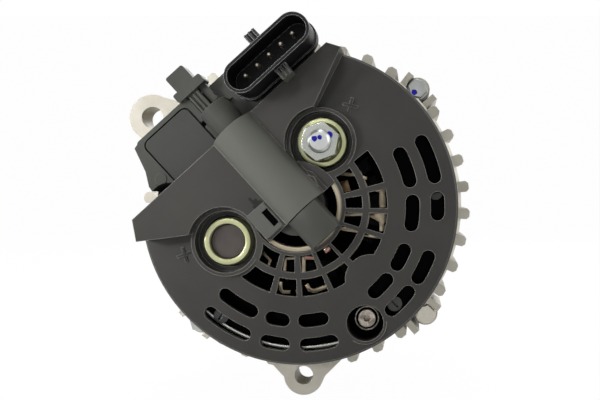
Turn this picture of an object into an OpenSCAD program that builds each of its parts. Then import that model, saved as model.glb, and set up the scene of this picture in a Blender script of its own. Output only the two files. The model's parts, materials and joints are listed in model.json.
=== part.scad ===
// Alternator with twelve-volt style rear terminals, built round its shaft.
// Inside each module local z runs rearwards along the shaft from the middle of the
// belt grooves, and local x and y are the model's X and Z.

/* [Pulley and shaft] */
// Pulley width
pulley_w = 26; // [22:0.5:34]
// Pulley outside diameter
pulley_d = 56; // [50:1:64]
// Number of belt grooves
groove_n = 6; // [4:1:6]
// Groove pitch
groove_pitch = 3.56; // [3.4:0.02:3.7]
// Groove depth
groove_depth = 2.8; // [2:0.1:3.2]
// Width of the pulley's hub where the nut clamps it
hub_w = 15; // [12:0.5:18]
// Depth of the nut's recess measured as wall thickness of the pulley rim
rim_wall = 5; // [4:0.5:7]
// Shaft diameter at the pulley and the front bearing
shaft_d = 17; // [15:0.5:19]
// Thread end showing beyond the pulley nut
thread_out = 2; // [1:0.5:4]
// Pulley nut across flats
nut_af = 24; // [22:1:26]
// Pulley nut height
nut_h = 13; // [10:0.5:16]
// Length of the spacer between pulley and bearing
spacer_len = 9; // [6:0.5:12]
// Wall of the spacer
spacer_wall = 3.2; // [2.5:0.1:4]

/* [Bearings] */
// Front bearing outside diameter
fb_od = 47; // [44:0.5:52]
// Front bearing width
fb_w = 14; // [12:0.5:15]
// Front bearing ball diameter
fb_ball = 8; // [6.5:0.1:8.4]
// Rear bearing bore
rb_bore = 15; // [13:0.5:16]
// Rear bearing outside diameter
rb_od = 35; // [34:0.5:35.5]
// Rear bearing width
rb_w = 11; // [9:0.5:12]
// Rear bearing ball diameter
rb_ball = 6; // [5:0.1:6.2]
// Balls in each bearing
ball_n = 8; // [7:1:8]
// Running clearance of balls and pins
run_gap = 0.05; // [0.03:0.01:0.1]
// Clearance of pieces seated in a bore
seat_gap = 0.02; // [0.01:0.01:0.05]
// Thickness of the bearing retainer
retainer_t = 3; // [2:0.25:4]

/* [Rotor] */
// From the front bearing's back to the front pole
front_room = 24; // [23:0.5:30]
// Length over both claw poles
pole_len = 48; // [44:0.5:54]
// Outside diameter of the claw poles
pole_d = 99.6; // [96:0.2:99.8]
// Thickness of each pole's disc
pole_disc = 15; // [13:0.5:17]
// Claws on each pole
claw_n = 8; // [6:1:8]
// Width of a claw at its root
claw_root = 18.5; // [16:0.5:19]
// Width of a claw at its tip
claw_tip = 7; // [5:0.5:8]
// Diameter of the poles' core under the coil
core_d = 40; // [36:1:44]
// Outside diameter of the field coil
coil_d = 74; // [68:1:75]
// Room between the coil and the claws over it
coil_room = 1.3; // [1:0.1:2]
// Wall of the coil's bobbin
bobbin_wall = 1.4; // [1:0.1:2]
// From the rear pole to the rear bearing
rear_room = 19; // [17.5:0.5:24]
// Fan plate thickness
fan_t = 1.2; // [1:0.1:1.6]
// Front fan blade height
front_blade = 11; // [8:0.5:12]
// Rear fan blade height
rear_blade = 10; // [7:0.5:11.5]
// Outside diameter of both fans
fan_d = 92; // [84:1:96]
// Blades on each fan
blade_n = 11; // [8:1:13]

/* [Slip rings and brushes] */
// Slip ring outside diameter
ring_d = 15.8; // [14.5:0.1:16.4]
// Width of one slip ring
ring_w = 5.5; // [5:0.1:6]
// Insulation between the rings
ring_space = 2; // [1.5:0.1:2.5]
// From the rear bearing to the first slip ring
ring_start = 9.5; // [9:0.5:11]
// Brush thickness along the shaft
brush_t = 4.6; // [4:0.1:4.8]
// Brush width
brush_w = 6.4; // [5.5:0.1:6.8]
// Brush length
brush_len = 13; // [11:0.5:15]
// Clearance of a brush in its channel
brush_gap = 0.2; // [0.15:0.05:0.3]
// Length of a brush spring
spring_len = 11; // [9:0.5:13]
// Outside diameter of a brush spring
spring_d = 3.8; // [3.2:0.1:4]
// Wire diameter of a brush spring
spring_wire = 0.5; // [0.4:0.05:0.6]

/* [Stator and housings] */
// Stator outside diameter
stator_d = 142; // [140:1:144]
// Air gap between poles and stator
air_gap = 0.5; // [0.4:0.05:0.8]
// Length of the laminated stack
stack_len = 38; // [34:0.5:42]
// Slots in the stack
slot_n = 36; // [24:12:36]
// Iron left behind the stator slots
back_iron = 8.2; // [7.5:0.1:10]
// Width of a stator slot
slot_w = 4; // [3.5:0.1:4.5]
// Wall of both housings over the stack
housing_wall = 2.6; // [2.2:0.1:3]
// How far each housing reaches over the stack
spigot_len = 4; // [3:0.5:6]
// Wall of the housings' end faces
end_wall = 4; // [3.5:0.25:5]
// Nose length in front of the front bearing
nose_lip = 3; // [2:0.5:4]
// Diameter of the nose round the front bearing
nose_d = 65; // [62:1:70]
// Fins round each quarter of a housing
fin_n = 8; // [6:1:8]
// Width of a fin
fin_w = 5.2; // [4:0.2:5.6]
// How far a fin stands out of the housing
fin_out = 4; // [2:0.2:5]
// First fin's angle from a through bolt
fin_first = 10.5; // [10:0.25:12]
// Angle of the first through bolt
bolt_a = 47; // [44:1:50]
// Circle of the through bolts
bolt_pcd = 155; // [152:1:160]
// Through bolt diameter
bolt_d = 5; // [4:0.5:6]
// Through bolt head across flats
bolt_af = 8; // [7:0.5:10]
// Vents in each end face
vent_n = 12; // [10:1:14]

/* [Mounting ears] */
// Pivot ear centre across
pivot_x = -73.8; // [-76:0.1:-72]
// Pivot ear centre height
pivot_z = 42; // [40:0.1:44]
// Pivot ear bore
pivot_bore = 10.2; // [9:0.1:11]
// Pivot ear outer diameter
pivot_od = 22; // [20:0.5:24]
// Lower ear centre across
foot_x = -1.6; // [-4:0.1:4]
// Lower ear centre height
foot_z = -81; // [-83:0.1:-80.6]
// Lower ear bore
foot_bore = 8.8; // [8:0.1:10]
// Lower ear outer diameter
foot_od = 18.8; // [18:0.2:20]
// Length of the rear ears
rear_ear_len = 15; // [12:0.5:18]
// Length of the front ears
front_ear_len = 30; // [24:1:34]

/* [Rear cover] */
// Cover outside diameter
cover_d = 142; // [140:1:146]
// Wall of the cover
cover_wall = 2.2; // [1.8:0.1:2.6]
// From the rear bearing's back to the cover's rim
cover_reach = 14; // [13:0.5:16]
// Length of the cover's skirt
skirt_len = 16; // [14:0.5:17]
// Rise of the cover's face per mm towards the middle
dome_rise = 0.2; // [0.1:0.01:0.24]
// Radius of the cover's rim edge
rim_r = 3; // [2:0.5:4]
// Height of the wings over the rim
wing_h = 14; // [13:0.5:16]
// Height of the terminal plateaus over the rim
plateau_h = 11.5; // [11:0.5:13]
// Height of the barrel's crest over the rim
barrel_h = 22; // [21:0.5:24]
// Width of the barrel
barrel_w = 21.8; // [20:0.2:23]
// Offset of barrel and brush holder from the shaft
barrel_q = 2.7; // [2:0.1:3]
// Inner radius of the grille
grille_r = 21.4; // [21:0.2:22]
// Outer radius of the inner windows
window_in = 28.6; // [27:0.2:29]
// Inner radius of the outer windows
window_out = 31.6; // [31:0.2:33]
// Outer radius of the grille
grille_end = 39.4; // [38:0.2:41]
// Outer radius of the inner slots
slot_in_r = 53.6; // [52:0.2:54]
// Outer radius of the outer slots
slot_out_r = 64.7; // [63:0.2:65]
// Width of the vent slots
vent_w = 6.2; // [5:0.2:7]
// Diameter of the terminal wells
well_d = 27; // [26:0.2:28]
// Diameter of the cover screw's pocket
pocket_d = 16.4; // [15:0.2:17]

/* [Terminals] */
// Main terminal across
stud_x = 10.6; // [9:0.1:12]
// Main terminal height
stud_z = 28.3; // [27:0.1:30]
// Spare terminal across
spare_x = -31; // [-33:0.1:-29]
// Spare terminal height
spare_z = -15.2; // [-17:0.1:-13]
// Stud diameter
stud_d = 10; // [8:0.5:12]
// Terminal nut across flats
term_af = 15; // [14:0.5:17]
// Terminal nut height with its flange
term_h = 10; // [8:0.5:12]
// Terminal bushing outside diameter
bush_d = 22; // [20:0.5:24]
// Bore of the spare bushing
bush_bore = 15.6; // [14:0.2:16.4]
// Height of the bushings over the cover's rim
bush_h = 6; // [4.5:0.5:7]

/* [Regulator and connector] */
// Length of the regulator's lid
lid_len = 26; // [24:0.5:28]
// Width of the regulator's lid
lid_w = 24.4; // [22:0.2:26]
// Height of the lid over the cover's rim
lid_h = 10; // [9:0.5:10.5]
// Corner radius of the lid
lid_r = 2.5; // [1.5:0.5:4]
// Groove round the lid
lid_gap = 0.8; // [0.5:0.1:1.2]
// Rim of the regulator round the lid
lid_rim = 2; // [1.5:0.1:2.6]
// Connector length across its rim
conn_len = 43; // [38:0.2:44]
// Connector width across its rim
conn_w = 14; // [13:0.2:16]
// Connector wall
conn_wall = 1.4; // [1.2:0.1:1.8]
// Height of the connector's rim over the cover's rim
conn_h = 28; // [26:0.5:30]
// Depth of the connector's cavity
conn_depth = 16; // [13:0.5:18]
// Number of pins
pin_n = 5; // [3:1:5]
// Pin pitch
pin_pitch = 6.7; // [6:0.1:7]
// Pin diameter
pin_d = 2; // [1.5:0.1:2.5]
// Pin length inside the cavity
pin_out = 7; // [5:0.5:9]
// Height of the connector's shelf over the cover's rim
shelf_h = 5; // [3.5:0.5:6]

/* [Rectifier] */
// Heat sink thickness
sink_t = 3; // [2.5:0.25:3.25]
// Thickness of the board between the heat sinks
board_t = 5.8; // [5.5:0.1:6]
// Inner radius of the heat sinks
sink_in = 44; // [43:0.5:46]
// Outer radius of the heat sinks
sink_out = 66; // [63:0.5:66.5]
// Diodes on each heat sink
diode_n = 6; // [4:1:6]
// Diode diameter
diode_d = 11; // [9:0.5:12]

/* [Hidden] */
$fn = 64;

// Stations along the shaft, counted rearwards from the groove centre
t_bear = pulley_w / 2 + spacer_len;
t_nose = t_bear - nose_lip;
t_fb = t_bear + fb_w;
t_pole = t_fb + front_room;
t_pole_end = t_pole + pole_len;
t_stack = t_pole + (pole_len - stack_len) / 2;
t_stack_end = t_stack + stack_len;
t_rb = t_pole_end + rear_room;
t_rb_end = t_rb + rb_w;
t_ring = t_rb_end + ring_start;
t_ring2 = t_ring + ring_w + ring_space;
t_shaft_end = t_ring2 + ring_w + 0.4;
t_rim = t_rb_end + cover_reach;
t_plate = t_rb_end - 4;
t_sink = t_plate + 2.5;
t_board = t_sink + sink_t;
t_sink2 = t_board + board_t;
t_sink2_end = t_sink2 + sink_t;
t_bush = t_rim + bush_h;
t_hub = pulley_w / 2 - hub_w;
t_collar = t_rb_end + 7;
t_cap = t_shaft_end + 2.1;
t_wing = t_rim + wing_h;
t_lid = t_rim + lid_h;
t_shelf = t_rim + shelf_h;
t_conn = t_rim + conn_h;
stack_r = stator_d / 2;
bore_r = pole_d / 2 + air_gap;
slot_depth = stack_r - back_iron - bore_r;
housing_r = stack_r + housing_wall;
inner_r = stack_r - 4;
nose_in = nose_d / 2 - 1.5;
retainer_band = nose_in - fb_od / 2;
retainer_ring = fb_od / 2 + retainer_band / 2;
retainer_shank = retainer_band * 0.24;
fin_r = housing_r + fin_out;
cover_r = cover_d / 2;
plate_r = housing_r - 4;
ear_face = t_plate - 4;
seat_w = 9;

// Angle of the barrel, which points down and to the right towards the shaft
barrel_a = -47.55;
// Across the barrel, the wings and the lid are laid out in this turned frame
wing_top = -43.4;

// Helpers
module along_shaft() { rotate([90, 0, 0]) children(); }
module slab(t0, t1) { translate([0, 0, t0]) linear_extrude(height = t1 - t0) children(); }
module ring2d(ro, ri) { difference() { circle(r = ro); circle(r = ri); } }
module tube(t0, t1, ro, ri) { slab(t0, t1) ring2d(ro, ri); }
module disc(t0, t1, r) { slab(t0, t1) circle(r = r); }
module turned() { rotate_extrude() children(); }
module in_barrel_frame() { rotate([0, 0, barrel_a]) children(); }

function wedge_points(r, a0, a1) = let (n = ceil((a1 - a0) / 30), f = r / cos(15) * 1.02)
    concat([[0, 0]], [for (i = [0 : n]) f * [cos(a0 + (a1 - a0) * i / n), sin(a0 + (a1 - a0) * i / n)]]);

// Part of a flat ring between two angles
module ring_part(ro, ri, a0, a1) {
    intersection() {
        ring2d(ro, ri);
        polygon(wedge_points(ro, a0, a1));
    }
}

// Curved slot with round ends, its whole length from a0 to a1
module arc_slot(ro, w, a0, a1) {
    rm = ro - w / 2;
    e = asin(w / 2 / rm);
    ring_part(ro, ro - w, a0 + e, a1 - e);
    for (a = [a0 + e, a1 - e]) rotate(a) translate([rm, 0]) circle(d = w - 0.05);
}

module rounded(x0, y0, x1, y1, r) {
    translate([x0 + r, y0]) square([x1 - x0 - 2 * r, y1 - y0]);
    translate([x0, y0 + r]) square([x1 - x0, y1 - y0 - 2 * r]);
    for (x = [x0 + r, x1 - r], y = [y0 + r, y1 - r]) translate([x, y]) circle(r = r);
}

module hexagon(af) { circle(r = af / 2 / cos(30), $fn = 6); }

// The quarter pattern of through bolts
module at_bolts() {
    for (i = [0 : 3]) rotate([0, 0, bolt_a + 90 * i]) translate([bolt_pcd / 2, 0, 0]) children();
}

// Fin angles of one quarter
function fin_angle(i) = fin_first + i * (90 - 2 * fin_first) / (fin_n - 1);

// An ear with its webs running into the housing wall
// Fin seen along the shaft, its outer corners chamfered
module fin2d() {
    c = fin_w * 0.24;
    polygon([[stack_r + 1.2, -fin_w / 2], [fin_r - c, -fin_w / 2], [fin_r, c - fin_w / 2], [fin_r, fin_w / 2 - c],
        [fin_r - c, fin_w / 2], [stack_r + 1.2, fin_w / 2]]);
}

module ear2d(x, z, od, spread) {
    a = atan2(z, x);
    d = norm([x, z]);
    rotate(a) {
        translate([d, 0]) circle(d = od);
        polygon([[d + 1, od / 2 - 0.1], [inner_r + 2, spread], [inner_r + 2, -spread], [d + 1, 0.1 - od / 2]]);
    }
}

module drive_end_housing() {
    color([0.76, 0.75, 0.72])
    along_shaft() difference() {
        union() {
            turned() polygon([[fb_od / 2 - 8, t_nose], [nose_d / 2 - 1, t_nose], [nose_d / 2, t_nose + 1],
                [nose_d / 2 + 1.5, t_fb], [plate_r - 4, t_fb + 5.5], [plate_r + 2, t_fb + 8],
                [housing_r, t_fb + 13], [housing_r, t_stack + spigot_len],
                [stack_r + seat_gap, t_stack + spigot_len], [stack_r + seat_gap, t_stack],
                [inner_r, t_stack], [inner_r, t_fb + 14], [inner_r - 5, t_fb + 8 + end_wall / 2],
                [nose_d / 2 + 4, t_fb + 2 + end_wall], [nose_d / 2 - 1.5, t_fb + 2 + end_wall],
                [nose_d / 2 - 1.5, t_fb], [fb_od / 2 + seat_gap, t_fb],
                [fb_od / 2 + seat_gap, t_bear], [fb_od / 2 - 8, t_bear]]);
            // Raised ribs between the front vents
            for (i = [0 : vent_n - 1]) rotate([0, 0, (i + 0.5) * 360 / vent_n])
                translate([nose_d / 2 - 1, 0, t_nose + 5]) rotate([0, 0, 0])
                rotate([90, 0, 0]) translate([0, 0, -fin_w / 2]) linear_extrude(height = fin_w)
                polygon([[0, 2], [0, t_fb - t_nose - 3], [plate_r - nose_d / 2 - 2, t_fb - t_nose + 3],
                    [plate_r - nose_d / 2 - 2, t_fb - t_nose - 1], [12, t_fb - t_nose - 9]]);
            for (q = [0 : 3], i = [0 : fin_n - 1]) rotate([0, 0, bolt_a + 90 * q + fin_angle(i)])
                slab(t_fb + 16, t_stack + spigot_len - 0.6) fin2d();
            at_bolts() disc(t_fb + 15, t_stack + spigot_len - 0.4, bolt_d / 2 + 3.4);
            slab(t_bear + 4, t_bear + 4 + front_ear_len) {
                difference() {
                    union() {
                        ear2d(pivot_x, pivot_z, pivot_od, 17);
                        ear2d(foot_x, foot_z, foot_od, 21);
                    }
                    circle(r = inner_r + 1);
                }
            }
            // Wall that carries the ears forward of the rim
            for (e = [[pivot_x, pivot_z, pivot_od], [foot_x, foot_z, foot_od]])
                rotate([0, 0, atan2(e[1], e[0])]) slab(t_bear + 4.4, t_fb + 15)
                ring_part(housing_r - 0.5, inner_r - 3, -14, 14);
        }
        disc(t_fb, t_stack, nose_in);
        // Front vents
        for (i = [0 : vent_n - 1]) rotate([0, 0, i * 360 / vent_n])
            slab(t_fb - 1, t_fb + 8 + end_wall) ring_part(plate_r - 8, nose_d / 2 + 6,
                -180 / vent_n + 5, 180 / vent_n - 5);
        // Side vents between the fins
        for (q = [0 : 3], i = [0 : fin_n - 2]) rotate([0, 0, bolt_a + 90 * q + (fin_angle(i) + fin_angle(i + 1)) / 2])
            translate([inner_r - 2, -3.2, t_fb + 17]) cube([housing_wall + 8, 6.4, t_stack - t_fb - 20]);
        at_bolts() disc(t_fb + 14, t_stack + spigot_len + 1, bolt_d / 2);
        translate([pivot_x, pivot_z, 0]) disc(t_nose, t_stack + 1, pivot_bore / 2);
        translate([foot_x, foot_z, 0]) disc(t_nose, t_stack + 1, foot_bore / 2);
        // The lower bolt passes clear of the fins
        translate([foot_x, foot_z, 0]) disc(t_bear + 4 + front_ear_len, t_stack + spigot_len, foot_bore / 2 + 0.9);
        for (i = [0 : 3]) rotate([0, 0, 45 + 90 * i])
            translate([retainer_ring, 0, 0]) disc(t_bear + 4, t_fb + 1, retainer_shank);
    }
}

module slip_ring_end_housing() {
    color([0.8, 0.79, 0.75])
    along_shaft() difference() {
        union() {
            turned() polygon([[stack_r + seat_gap, t_stack_end - spigot_len], [housing_r, t_stack_end - spigot_len],
                [housing_r, t_plate - 5], [housing_r - 2, t_plate - 2], [plate_r, t_plate],
                [rb_od / 2 + 5, t_plate], [rb_od / 2 + 4, t_plate + 1], [rb_od / 2 + 3, t_collar],
                [rb_od / 2 + 0.6, t_collar], [rb_od / 2 + 0.6, t_rb_end + 1.6], [rb_bore / 2 + 5, t_rb_end + 1.6],
                [rb_bore / 2 + 5, t_rb_end], [rb_od / 2 + seat_gap, t_rb_end], [rb_od / 2 + seat_gap, t_rb],
                [rb_od / 2 + 5, t_rb - 0.5], [rb_od / 2 + 6, t_plate - end_wall], [inner_r - 4, t_plate - end_wall],
                [inner_r, t_plate - end_wall - 4], [inner_r, t_stack_end], [stack_r + seat_gap, t_stack_end]]);
            for (q = [0 : 3], i = [0 : fin_n - 1]) rotate([0, 0, bolt_a + 90 * q + fin_angle(i)])
                slab(t_stack_end - spigot_len + 0.6, t_plate - 3) fin2d();
            // Lugs and the two ribs that stand beside each bolt head
            at_bolts() disc(t_stack_end - spigot_len + 0.4, t_plate - 14, bolt_d / 2 + 3.4);
            for (q = [0 : 3], s = [-1, 1]) rotate([0, 0, bolt_a + 90 * q + s * 5.6])
                translate([stack_r + 1.2, -fin_w / 2, t_stack_end - spigot_len + 0.8])
                cube([fin_r - stack_r + 1.6, fin_w * 0.6, t_plate - 6.8 - t_stack_end + spigot_len]);
            difference() {
                slab(ear_face - rear_ear_len, ear_face) {
                    ear2d(pivot_x, pivot_z, pivot_od, 15);
                    ear2d(foot_x, foot_z, foot_od, 22);
                }
                disc(t_stack_end, t_plate, inner_r + 1);
            }
            // Seats of the rectifier and the regulator
            for (a = [-163, -126, -46, 6]) rotate([0, 0, a]) translate([sink_out - 5, 0, 0])
                disc(t_plate - 1, t_sink, 5);
            in_barrel_frame() {
                for (c = reg_screw) translate([c[0], c[1], 0]) disc(t_plate - 1, t_rim - 4, 4.5);
                translate([-57, -14, 0]) disc(t_plate - 1, t_rim - 4, 4.5);
                translate([boss_at[0], boss_at[1], 0]) disc(t_plate - 1, t_rim - 2, 7.6);
            }
            rotate([0, 0, -60.5]) translate([59.5, 0, 0]) disc(t_plate - 1, t_plate + 2, 6.5);
        }
        at_bolts() disc(t_plate - 14, t_plate + 1, bolt_af / 2 + 1.5);
        // Vents of the end face, an inner and an outer row
        for (i = [0 : 23]) if (i % 6 != 3) rotate([0, 0, i * 15 + 4]) slab(t_plate - end_wall - 5, t_plate + 1)
            ring_part(window_out + 6, rb_od / 2 + 9.5, -5.2, 5.2);
        for (a = [[-144.5, 9.5], [-94.5, 22.5], [-20, 16], [44, 19], [98, 16]]) rotate([0, 0, a[0]])
            slab(t_plate - end_wall - 5, t_plate + 1) arc_slot(inner_r - 7, 13, -a[1], a[1]);
        for (q = [0 : 3], i = [0 : fin_n - 2]) rotate([0, 0, bolt_a + 90 * q + (fin_angle(i) + fin_angle(i + 1)) / 2])
            translate([inner_r - 2, -3.2, t_stack_end + 3]) cube([housing_wall + 8, 6.4, t_plate - 9 - t_stack_end]);
        at_bolts() disc(t_stack_end - spigot_len - 1, t_plate, bolt_d / 2 + 0.3);
        translate([pivot_x, pivot_z, 0]) disc(t_stack_end - 9, t_rim, pivot_bore / 2);
        translate([foot_x, foot_z, 0]) disc(t_stack_end - 9, t_rim, foot_bore / 2);
        translate([foot_x, foot_z, 0]) {
            disc(t_stack_end - spigot_len, ear_face - rear_ear_len, foot_bore / 2 + 0.9);
            disc(ear_face, t_rim, foot_bore / 2 + 0.9);
        }
        for (a = [-163, -126, -46, 6]) rotate([0, 0, a]) translate([sink_out - 5, 0, 0])
            disc(t_plate - 3, t_sink + 1, 1.8);
        rotate([0, 0, -60.5]) translate([59.5, 0, 0]) disc(t_plate - 3, t_rim, 2.2);
        in_barrel_frame() for (c = reg_screw) translate([c[0], c[1], 0]) disc(t_plate + 2, t_rim - 3, 2);
    }
}

module stator_core() {
    color([0.55, 0.54, 0.52])
    along_shaft() slab(t_stack, t_stack_end) difference() {
        ring2d(stack_r, bore_r);
        for (i = [0 : slot_n - 1]) rotate(i * 360 / slot_n) {
            translate([bore_r + 1.8, -slot_w / 2]) square([slot_depth - 1.8, slot_w]);
            translate([bore_r - 1, -slot_w / 4]) square([4, slot_w / 2]);
        }
    }
}

module stator_winding() {
    color([0.72, 0.4, 0.2])
    along_shaft() {
        bar_in = bore_r + 2.4;
        bar_out = bore_r + slot_depth - 0.4;
        difference() {
            union() {
                slab(t_stack - 3, t_stack_end + 3)
                    for (i = [0 : slot_n - 1]) rotate(i * 360 / slot_n)
                    translate([bar_in, -slot_w / 2 + 0.3]) square([bar_out - bar_in, slot_w - 0.6]);
                for (e = [[t_stack - 12, t_stack - 2], [t_stack_end + 2, t_stack_end + 12]]) turned()
                    polygon([[bar_in, e[0] + 2], [bar_in + 2, e[0]], [bar_out + 0.5, e[0]],
                        [bar_out + 2.5, e[0] + 2], [bar_out + 2.5, e[1] - 2], [bar_out + 0.5, e[1]],
                        [bar_in + 2, e[1]], [bar_in, e[1] - 2]]);
            }
        }
    }
}

module through_bolts() {
    color([0.82, 0.82, 0.8])
    along_shaft() at_bolts() {
        disc(t_fb + 17, t_plate - 13.5, bolt_d / 2 - seat_gap);
        disc(t_plate - 14, t_plate - 13, bolt_af / 2 + 1.1);
        slab(t_plate - 13, t_plate - 8.5) hexagon(bolt_af);
    }
}

// The ball groove is cut from both races, and the outer race carries the shields
module race_outer(t0, w, od, ball, pitch_r) {
    rotate_extrude() difference() {
        union() {
            translate([pitch_r + ball * 0.28, t0]) square([od / 2 - pitch_r - ball * 0.28, w]);
            for (t = [t0 + 0.4, t0 + w - 1]) translate([pitch_r - ball * 0.28 + 0.3, t])
                square([ball * 0.56, 0.6]);
        }
        translate([pitch_r, t0 + w / 2]) circle(r = ball / 2 + run_gap);
    }
}
module race_inner(t0, w, bore, ball, pitch_r) {
    rotate_extrude() difference() {
        translate([bore / 2, t0]) square([pitch_r - ball * 0.28 - bore / 2, w]);
        translate([pitch_r, t0 + w / 2]) circle(r = ball / 2 + run_gap);
    }
}
module ball_cage(t0, w, ball, pitch_r) {
    for (i = [0 : ball_n - 1]) rotate([0, 0, i * 360 / ball_n]) translate([pitch_r, 0, t0 + w / 2])
        sphere(d = ball);
    difference() {
        tube(t0 + w / 2 - ball * 0.3, t0 + w / 2 + ball * 0.3, pitch_r + 0.5, pitch_r - 0.5);
        for (i = [0 : ball_n - 1]) rotate([0, 0, i * 360 / ball_n]) translate([pitch_r, 0, t0 + w / 2])
            sphere(d = ball - 0.4);
    }
}

fb_pitch = (shaft_d + fb_od) / 4;
rb_pitch = (rb_bore + rb_od) / 4;

module front_bearing_outer() { color([0.7, 0.7, 0.7]) along_shaft() race_outer(t_bear, fb_w, fb_od, fb_ball, fb_pitch); }
module front_bearing_cage() { color([0.75, 0.65, 0.4]) along_shaft() ball_cage(t_bear, fb_w, fb_ball, fb_pitch); }
module front_bearing_inner() {
    color([0.7, 0.7, 0.7]) along_shaft() race_inner(t_bear, fb_w, shaft_d + 2 * seat_gap, fb_ball, fb_pitch);
}
module rear_bearing_outer() { color([0.7, 0.7, 0.7]) along_shaft() race_outer(t_rb, rb_w, rb_od, rb_ball, rb_pitch); }
module rear_bearing_cage() { color([0.75, 0.65, 0.4]) along_shaft() ball_cage(t_rb, rb_w, rb_ball, rb_pitch); }
module rear_bearing_inner() {
    color([0.7, 0.7, 0.7]) along_shaft() race_inner(t_rb, rb_w, rb_bore + 2 * seat_gap, rb_ball, rb_pitch);
}

module bearing_retainer() {
    color([0.7, 0.7, 0.68])
    along_shaft() slab(t_fb, t_fb + retainer_t) difference() {
        circle(r = nose_in - 0.2);
        circle(r = fb_od / 2 - 3.5);
        for (i = [0 : 3]) rotate(45 + 90 * i) translate([retainer_ring, 0]) circle(r = retainer_shank + 0.15);
        for (i = [0 : 3]) rotate(90 * i) translate([nose_d / 2 + 5, 0]) circle(r = 9);
    }
}

module retainer_screws() {
    color([0.75, 0.75, 0.73])
    along_shaft() for (i = [0 : 3]) rotate([0, 0, 45 + 90 * i]) translate([retainer_ring, 0, 0]) {
        disc(t_bear + 5, t_fb + retainer_t + 0.5, retainer_shank - seat_gap);
        slab(t_fb + retainer_t, t_fb + retainer_t + 2.4) difference() {
            circle(r = retainer_band * 0.4);
            circle(r = retainer_band * 0.17, $fn = 6);
        }
    }
}

module rotor_shaft() {
    color([0.6, 0.6, 0.6])
    along_shaft() turned() polygon([[0, t_hub - nut_h - thread_out], [shaft_d / 2 - 1.5, t_hub - nut_h - thread_out],
        [shaft_d / 2 - 0.5, t_hub - nut_h - thread_out + 1], [shaft_d / 2 - 0.5, t_hub],
        [shaft_d / 2, t_hub], [shaft_d / 2, t_fb], [shaft_d / 2 + 2, t_fb], [shaft_d / 2 + 2, t_pole],
        [shaft_d / 2 + 2, t_pole_end], [rb_bore / 2 + 2, t_pole_end + fan_t], [rb_bore / 2 + 2, t_rb],
        [rb_bore / 2, t_rb], [rb_bore / 2, t_rb_end + 0.6], [5.2, t_rb_end + 2.5], [5.2, t_shaft_end - 0.6],
        [4.6, t_shaft_end], [0, t_shaft_end]]);
}

// One claw pole; lead runs from its outer face to the tips of its claws
module claw_pole() {
    r = pole_d / 2;
    reach = pole_len - 3;
    claw_in = coil_d / 2 + coil_room;
    difference() {
        union() {
            turned() polygon([[shaft_d / 2 + 2 + seat_gap, 0], [r * 0.78, 0], [r * 0.78, pole_disc - 1.5],
                [r * 0.72, pole_disc], [core_d / 2, pole_disc], [core_d / 2, pole_len / 2],
                [shaft_d / 2 + 2 + seat_gap, pole_len / 2]]);
            intersection() {
                turned() polygon([[r * 0.68, 0], [r - 3, 0], [r, 3], [r, reach - 1], [r - 1, reach],
                    [max(r - 4.5, claw_in + 1), reach], [claw_in, pole_disc], [r * 0.68, pole_disc]]);
                for (i = [0 : claw_n - 1]) rotate([0, 0, i * 360 / claw_n])
                    rotate([90, 0, 90]) linear_extrude(height = r + 2)
                    polygon([[-claw_root / 2, -1], [claw_root / 2, -1], [claw_root / 2, pole_disc - 5],
                        [claw_tip / 2, reach + 1], [-claw_tip / 2, reach + 1], [-claw_root / 2, pole_disc - 5]]);
            }
        }
        // Bevelled valley between neighbouring claws
        for (i = [0 : claw_n - 1]) rotate([0, 0, (i + 0.5) * 360 / claw_n]) translate([r, 0, -1])
            cylinder(d = r * 0.34, h = pole_disc + 2);
    }
}

module front_claw_pole() { color([0.45, 0.45, 0.46]) along_shaft() translate([0, 0, t_pole]) claw_pole(); }
module rear_claw_pole() {
    color([0.48, 0.48, 0.49])
    along_shaft() translate([0, 0, t_pole_end]) mirror([0, 0, 1]) rotate([0, 0, 180 / claw_n]) claw_pole();
}

module coil_bobbin() {
    color([0.85, 0.8, 0.65])
    along_shaft() turned() {
        a = t_pole + pole_disc + 0.2;
        b = t_pole_end - pole_disc - 0.2;
        polygon([[core_d / 2 + seat_gap, a], [coil_d / 2, a], [coil_d / 2, a + bobbin_wall],
            [core_d / 2 + bobbin_wall, a + bobbin_wall], [core_d / 2 + bobbin_wall, b - bobbin_wall],
            [coil_d / 2, b - bobbin_wall], [coil_d / 2, b], [core_d / 2 + seat_gap, b]]);
    }
}

module field_coil() {
    color([0.75, 0.42, 0.22])
    along_shaft() tube(t_pole + pole_disc + 0.2 + bobbin_wall, t_pole_end - pole_disc - 0.2 - bobbin_wall,
        coil_d / 2 - 0.6, core_d / 2 + bobbin_wall);
}

// Sheet fan: plate from z = 0 to fan_t, swept blades standing up to h
module fan(h, hand) {
    difference() {
        union() {
            slab(0, fan_t) difference() {
                circle(d = fan_d);
                circle(r = shaft_d / 2 + 6);
                for (i = [0 : blade_n - 1]) rotate((i + 0.5) * 360 / blade_n)
                    translate([fan_d / 2 + 2, 0]) circle(r = fan_d * 0.1);
            }
            for (i = [0 : blade_n - 1]) rotate([0, 0, i * 360 / blade_n]) mirror([0, hand, 0])
                slab(0, fan_t + h) intersection() {
                    translate([fan_d * 0.19, -fan_d * 0.36]) ring2d(fan_d * 0.4, fan_d * 0.4 - fan_t);
                    ring_part(fan_d / 2, fan_d / 2 - 17, 0, 70);
                }
        }
    }
}

module front_fan() {
    color([0.62, 0.62, 0.63])
    along_shaft() translate([0, 0, t_pole]) mirror([0, 0, 1]) fan(front_blade, 0);
}
module rear_fan() { color([0.62, 0.62, 0.63]) along_shaft() translate([0, 0, t_pole_end]) fan(rear_blade, 1); }

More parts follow.
